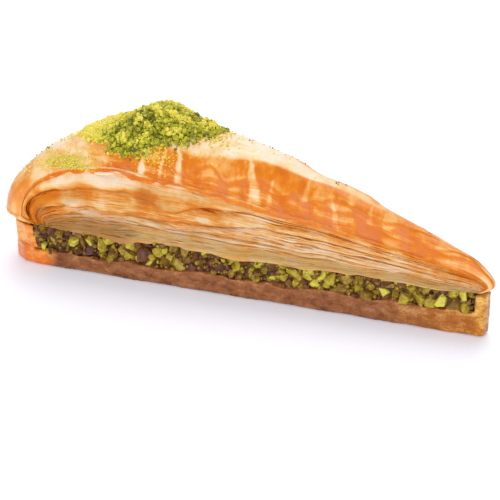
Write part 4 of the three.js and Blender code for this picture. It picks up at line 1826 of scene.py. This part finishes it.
    def core(self) -> Piece:
        """Returns the dark body behind the bits, coloured as painted shade, rolled from one grid round its
        four sides.
        """
        sheet, column, row = grid_sheet("filling_core", self.columns, self.rows)
        turn = (row % self.rows) / self.rows * 4.0
        leg = np.floor(turn)
        share = turn - leg
        legs = [leg == 0, leg == 1, leg == 2]
        v = np.select(legs, [blend(-1.0, 1.0, share), 1.0, blend(1.0, -1.0, share)], -1.0)
        lift = np.select(legs, [0.0, share, 1.0], 1.0 - share)
        tip = self.shape.tip_radius + self.shape.tip_wall
        rim = self.shape.rim_radius - self.shape.rim_wall
        radius = self.shape.radius_at(column / self.columns, v, tip, rim, self.shape.filling_corner)
        x, y = self.shape.on_tray(radius, v)
        out_x, out_y = self.shape.outward(v)
        inset = np.minimum(self.core_inset, 0.6 * radius * math.sin(self.shape.half_angle))
        x = x - out_x * inset
        y = y - out_y * inset
        z = self.shape.in_pocket(x, y, lift, 0.1)
        bumps = 0.9 * self.noise.rough(2, x / 2.2, y / 2.2, z / 2.2)
        write_points(sheet, as_rows(x + out_x * bumps, y + out_y * bumps, z))
        close_tube(sheet)
        paint(sheet, tone=0.5 + 0.5 * self.noise.rough(2, *(read_points(sheet).T / 1.5)))
        smooth(sheet, 40.0)
        return sheet

    def build(self) -> None:
        """Builds and dresses the filling."""
        scatter = Scatter(model_chips(210, self.kinds, 8, 2), 61)
        dust = Scatter(model_chips(230, self.dust_kinds, 2, 1), 64)
        for side in Side:
            self.pack_cut(side, scatter, dust)
        finish = NutFinish("chopped_pistachio", self.stops).material()
        finish_piece(scatter.build("chopped_pistachio", self.sharp), finish, self.node)
        finish_piece(dust.build("pistachio_crumbs", self.sharp), finish, self.node)
        finish_piece(self.core(), NutFinish("filling_shadow", self.shadow_stops).material(), self.node)


@dataclass
class Heap:
    """Finely ground pistachio piled on the crust, with stray crumbs round it.

    Attributes:
        patches: middle, spread, count, sizes and shade of each loose patch of crumbs.
    """

    shape: SliceShape
    crust: Crust
    node: str = "ground_pistachio"
    radius: float = 129.6
    side: float = -1.6
    length: float = 45.0
    width: float = 31.0
    thin_end: float = 0.22
    turn: float = math.radians(10.0)
    height: float = 5.2
    sharpness: float = 1.8
    steepness: float = 0.8
    bury: float = 5.0
    grains: int = 7700
    kinds: int = 6
    grain_size: Pair = (0.25, 0.6)
    sharp: float = 30.0
    core_columns: int = 64
    core_rows: int = 44
    core_overlap: float = 1.02
    core_wall: float = 0.6
    patches: tuple = (
        ((-38.0, -2.5), (14.0, 8.6), 420, (0.16, 0.34), 0.25),
        ((-50.5, -24.4), (6.6, 1.6), 1100, (0.14, 0.3), 0.08),
        ((-24.0, -15.4), (4.6, 1.5), 200, (0.15, 0.32), 0.05),
        ((-11.0, -1.5), (2.6, 3.2), 150, (0.15, 0.32), 0.12),
        ((-58.0, -12.0), (6.0, 7.0), 90, (0.16, 0.34), 0.15),
        ((-67.0, -17.0), (3.5, 4.0), 14, (0.25, 0.4), 0.8),
        ((9.0, 4.8), (5.0, 0.9), 10, (0.18, 0.3), 0.85),
        ((30.0, 1.2), (1.4, 0.8), 4, (0.2, 0.3), 0.85),
        ((-30.0, -8.0), (24.0, 8.0), 50, (0.14, 0.26), 0.4),
    )
    stops: Stops = colour_stops(
        (0.0, 246, 222, 96), (0.3, 222, 212, 72), (0.6, 176, 172, 40), (1.0, 104, 106, 20)
    )
    # Painted shade colours of the body under the grains.
    shadow_stops: Stops = colour_stops((0.0, 150, 140, 40), (1.0, 92, 88, 20))
    noise: SmoothNoise = SmoothNoise(83)

    @property
    def centre(self) -> Pair:
        """Returns the heap's middle on the floor plan."""
        return self.shape.tray_centre - self.radius, self.side

    def placed(self, along: Array, across: Array) -> Plan:
        """Returns the floor plan places of places given along and across the heap."""
        x = self.centre[0] + along * math.cos(self.turn) - across * math.sin(self.turn)
        y = self.centre[1] + along * math.sin(self.turn) + across * math.cos(self.turn)
        return x, y

    def surface(self, x: Array, y: Array) -> Array:
        """Returns the height of the heap over the crust at places beside its middle."""
        angle = np.arctan2(y / self.width, x / self.length)
        lobes = 1.0 + 0.06 * np.sin(3.0 * angle + 1.0) + 0.05 * np.sin(7.0 * angle)
        lobes = lobes + 0.03 * np.sin(13.0 * angle)
        reach = 2.0 * np.hypot(x / self.length, y / self.width) / lobes
        inside = np.clip(1.0 - reach**self.sharpness, 0.0, 1.0)
        peak = self.height * blend(self.thin_end, 1.0, ramp(x, -15.0, 3.0))
        return np.where(reach < 1.0, peak * inside**self.steepness, -self.bury * (reach - 1.0))

    def lumps(self, x: Array, y: Array) -> Array:
        """Returns how much higher or lower the clumps make the heap."""
        fade = ramp(self.surface(x, y), 0.3, 1.6)
        return fade * (0.8 * self.noise(x / 3.2, y / 3.2) + 0.75 * self.noise(x / 1.5 + 9.0, y / 1.5))

    def core(self) -> Piece:
        """Returns the lumpy body under the grains, coloured as painted shade, a grid squeezed to an oval."""
        sheet, column, row = grid_sheet("ground_pistachio_core", self.core_columns, self.core_rows)
        across = column / (self.core_columns / 2.0) - 1.0
        along = row / (self.core_rows / 2.0) - 1.0
        circle = np.hypot(across, along)
        square = np.maximum(np.abs(across), np.abs(along))
        squeeze = np.divide(square, circle, out=np.ones_like(circle), where=circle > 0.0)
        x = across * self.length / 2.0 * self.core_overlap * squeeze
        y = along * self.width / 2.0 * self.core_overlap * squeeze
        top = np.maximum(self.surface(x, y) - 0.7 + self.lumps(x, y), -0.9)
        x, y = self.placed(x, y)
        write_points(sheet, as_rows(x, y, self.crust.height_over(x, y) + top))
        turn_outward(sheet, UP)
        thicken(sheet, self.core_wall)
        paint(sheet, tone=0.8)
        smooth(sheet, 50.0)
        return sheet

    def settle(self, x: Array, y: Array, sizes: Array, lift: Array) -> Array:
        """Returns grain middles resting on the crust at floor plan places."""
        return as_rows(x, y, self.crust.height_over(x, y) + lift + sizes * 0.55)

    def uneven(self, chance: Chance, sizes: Array) -> Array:
        """Returns the radius of each grain along its three axes."""
        return sizes[:, None] * chance.uniform(0.75, 1.25, (len(sizes), 3))

    def pile(self, scatter: Scatter) -> None:
        """Adds the grains of the heap itself, painted lighter on the left and darker towards the front and
        low between the clumps, as painted light and shade.
        """
        chance = np.random.default_rng(401)
        angle = chance.uniform(0.0, 2.0 * math.pi, self.grains)
        reach = np.sqrt(chance.uniform(0.0, 1.0, self.grains)) * 1.12
        x = reach * np.cos(angle) * self.length / 2.0
        y = reach * np.sin(angle) * self.width / 2.0
        sizes = chance.uniform(*self.grain_size, self.grains)
        sizes = sizes * (1.0 + 0.5 * (chance.uniform(size=self.grains) < 0.12))
        lumps = self.lumps(x, y)
        top = self.surface(x, y)
        keep = (top > 0.25) | (chance.uniform(size=self.grains) < np.exp(top / 0.35) * 0.5)
        lift = np.maximum(top - 0.8 + lumps + chance.uniform(-0.35, 0.45, self.grains), 0.0)
        places = self.settle(*self.placed(x, y), sizes, lift)
        # Painted light and shade: grains lighter on the left, darker towards the front and low between the
        # clumps.
        right = 1.0 - ramp(-x, 4.0, 18.0)
        tones = (0.46 + 0.12 * ramp(-y, 0.0, 7.0)) * right - 0.45 * lumps
        tones = tones + 0.08 + 0.2 * chance.normal(size=self.grains)
        sizes = self.uneven(chance, sizes)
        scatter.drop(places[keep], sizes[keep], np.clip(tones, 0.0, 1.0)[keep])

    def sprinkle(
        self, scatter: Scatter, seed: int, middle: Pair, spread: Pair, count: int, size: Pair, tone: float
    ) -> None:
        """Adds a loose patch of crumbs on the crust.

        Args:
            scatter: takes the crumbs.
            seed: which patch it is.
            middle: the patch's middle on the floor plan.
            spread: how wide it is along and across.
            count: number of crumbs.
            size: smallest and largest radius.
            tone: the shade around which the crumbs vary.
        """
        chance = np.random.default_rng(seed)
        x = middle[0] + spread[0] * chance.normal(size=count)
        y = middle[1] + spread[1] * chance.normal(size=count)
        u, _ = self.shape.crown_share(x, y)
        beyond = np.abs(y) - self.shape.half_width(u) + self.shape.lean_at(u)
        keep = (beyond < 0.8) & (u > 0.03) & (u < 0.985)
        sizes = chance.uniform(*size, int(np.sum(keep)))
        places = self.settle(x[keep], y[keep], sizes, -1.2 * np.maximum(beyond[keep], 0.0))
        tones = np.clip(tone + 0.15 * chance.normal(size=len(sizes)), 0.0, 1.0)
        scatter.drop(places, self.uneven(chance, sizes), tones)

    def build(self) -> None:
        """Builds and dresses the heap and the crumbs."""
        finish = NutFinish("ground_pistachio", self.stops, mottled=0.2).material()
        chips = model_chips(310, self.kinds, 1, 1)
        pile = Scatter(chips, 62)
        self.pile(pile)
        finish_piece(pile.build("ground_pistachio_grains", self.sharp), finish, self.node)
        crumbs = Scatter(chips, 63)
        for index, patch in enumerate(self.patches):
            self.sprinkle(crumbs, 402 + index, *patch)
        finish_piece(crumbs.build("loose_crumbs", self.sharp), finish, self.node)
        finish_piece(self.core(), NutFinish("heap_shadow", self.shadow_stops).material(), self.node)


# Camera, floor and light


@dataclass(frozen=True)
class Studio:
    """Pale floor, soft lights and the camera at the photograph's angle, in metres and degrees.

    Attributes:
        lights: name, azimuth, elevation, distance, side and watts of each square soft light.
    """

    aim: tuple[float, float, float] = (0.0126, -0.0218, 0.020)
    azimuth: float = 31.21
    elevation: float = 24.0
    distance: float = 0.4089
    lens: float = 100.0
    sensor: float = 36.0
    clip: Pair = (0.01, 50.0)
    floor_size: float = 12.0
    floor_tone: Colour = (0.9, 0.9, 0.95, 1.0)
    floor_glow: Colour = (0.15, 0.17, 0.205, 1.0)
    floor_roughness: float = 0.6
    air_tone: Colour = (0.97, 0.97, 1.0, 1.0)
    air: float = 0.45
    lights: tuple = (
        ("top_light", 205.0, 58.0, 0.9, 0.8, 5.0),
        ("back_light", 205.0, 24.0, 0.9, 0.7, 1.6),
        ("front_light", 16.0, 27.0, 1.1, 1.0, 7.4),
    )

    def stand(self, placed: Piece, azimuth: float, elevation: float, distance: float, aim: Any) -> None:
        """Stands a camera or light round the slice, at a distance from the place that it faces."""
        turn = math.radians(azimuth)
        up = math.radians(elevation)
        way = Vector((math.sin(turn) * math.cos(up), -math.cos(turn) * math.cos(up), math.sin(up)))
        placed.location = Vector(aim) + way * distance
        placed.rotation_mode = "QUATERNION"
        placed.rotation_quaternion = (-way).to_track_quat("-Z", "Y")

    def place_camera(self) -> None:
        """Adds the camera."""
        data = bpy.data.cameras.new("camera")
        data.lens = self.lens
        data.sensor_width = self.sensor
        data.clip_start, data.clip_end = self.clip
        camera = place_object("camera", data)
        self.stand(camera, self.azimuth, self.elevation, self.distance, self.aim)
        bpy.context.scene.camera = camera

    def place_lights(self) -> None:
        """Adds the square soft lights, which all face the slice."""
        for name, azimuth, elevation, distance, size, power in self.lights:
            data = bpy.data.lights.new(name, "AREA")
            data.shape = "SQUARE"
            data.size = size
            data.energy = power
            light = place_object(name, data)
            self.stand(light, azimuth, elevation, distance, (0.0, 0.0, 0.0))
            light.visible_camera = False

    def place_floor(self) -> None:
        """Adds the plain pale floor."""
        deselect()
        bpy.ops.mesh.primitive_plane_add(size=self.floor_size, location=(0.0, 0.0, 0.0))
        floor = bpy.context.active_object
        floor.name = "floor"
        material = bpy.data.materials.new("pale_floor")
        material.use_nodes = True
        shader = material.node_tree.nodes["Principled BSDF"]
        looks = (self.floor_tone, self.floor_roughness, self.floor_glow, 1.0)
        for title, value in zip(("Base Color", "Roughness", "Emission Color", "Emission Strength"), looks):
            shader.inputs[title].default_value = value
        floor.data.materials.append(material)

    def build(self) -> None:
        """Builds camera, floor, lights and surroundings."""
        scene = bpy.context.scene
        scene.view_settings.view_transform = "Standard"
        world = bpy.data.worlds.new("white_room")
        world.use_nodes = True
        background = world.node_tree.nodes["Background"]
        background.inputs["Color"].default_value = self.air_tone
        background.inputs["Strength"].default_value = self.air
        scene.world = world
        self.place_camera()
        self.place_floor()
        self.place_lights()


def main() -> None:
    """Builds the whole slice in order."""
    logging.basicConfig(level=logging.INFO, format="%(name)s %(message)s")
    Studio().build()
    crust = Crust(SHAPE)
    UpperPastry(SHAPE, crust, LeafStack(SHAPE), UpperCore(SHAPE)).build()
    BasePastry(SHAPE).dress()
    Filling(SHAPE).build()
    Heap(SHAPE, crust).build()


if __name__ == "__main__":
    main()
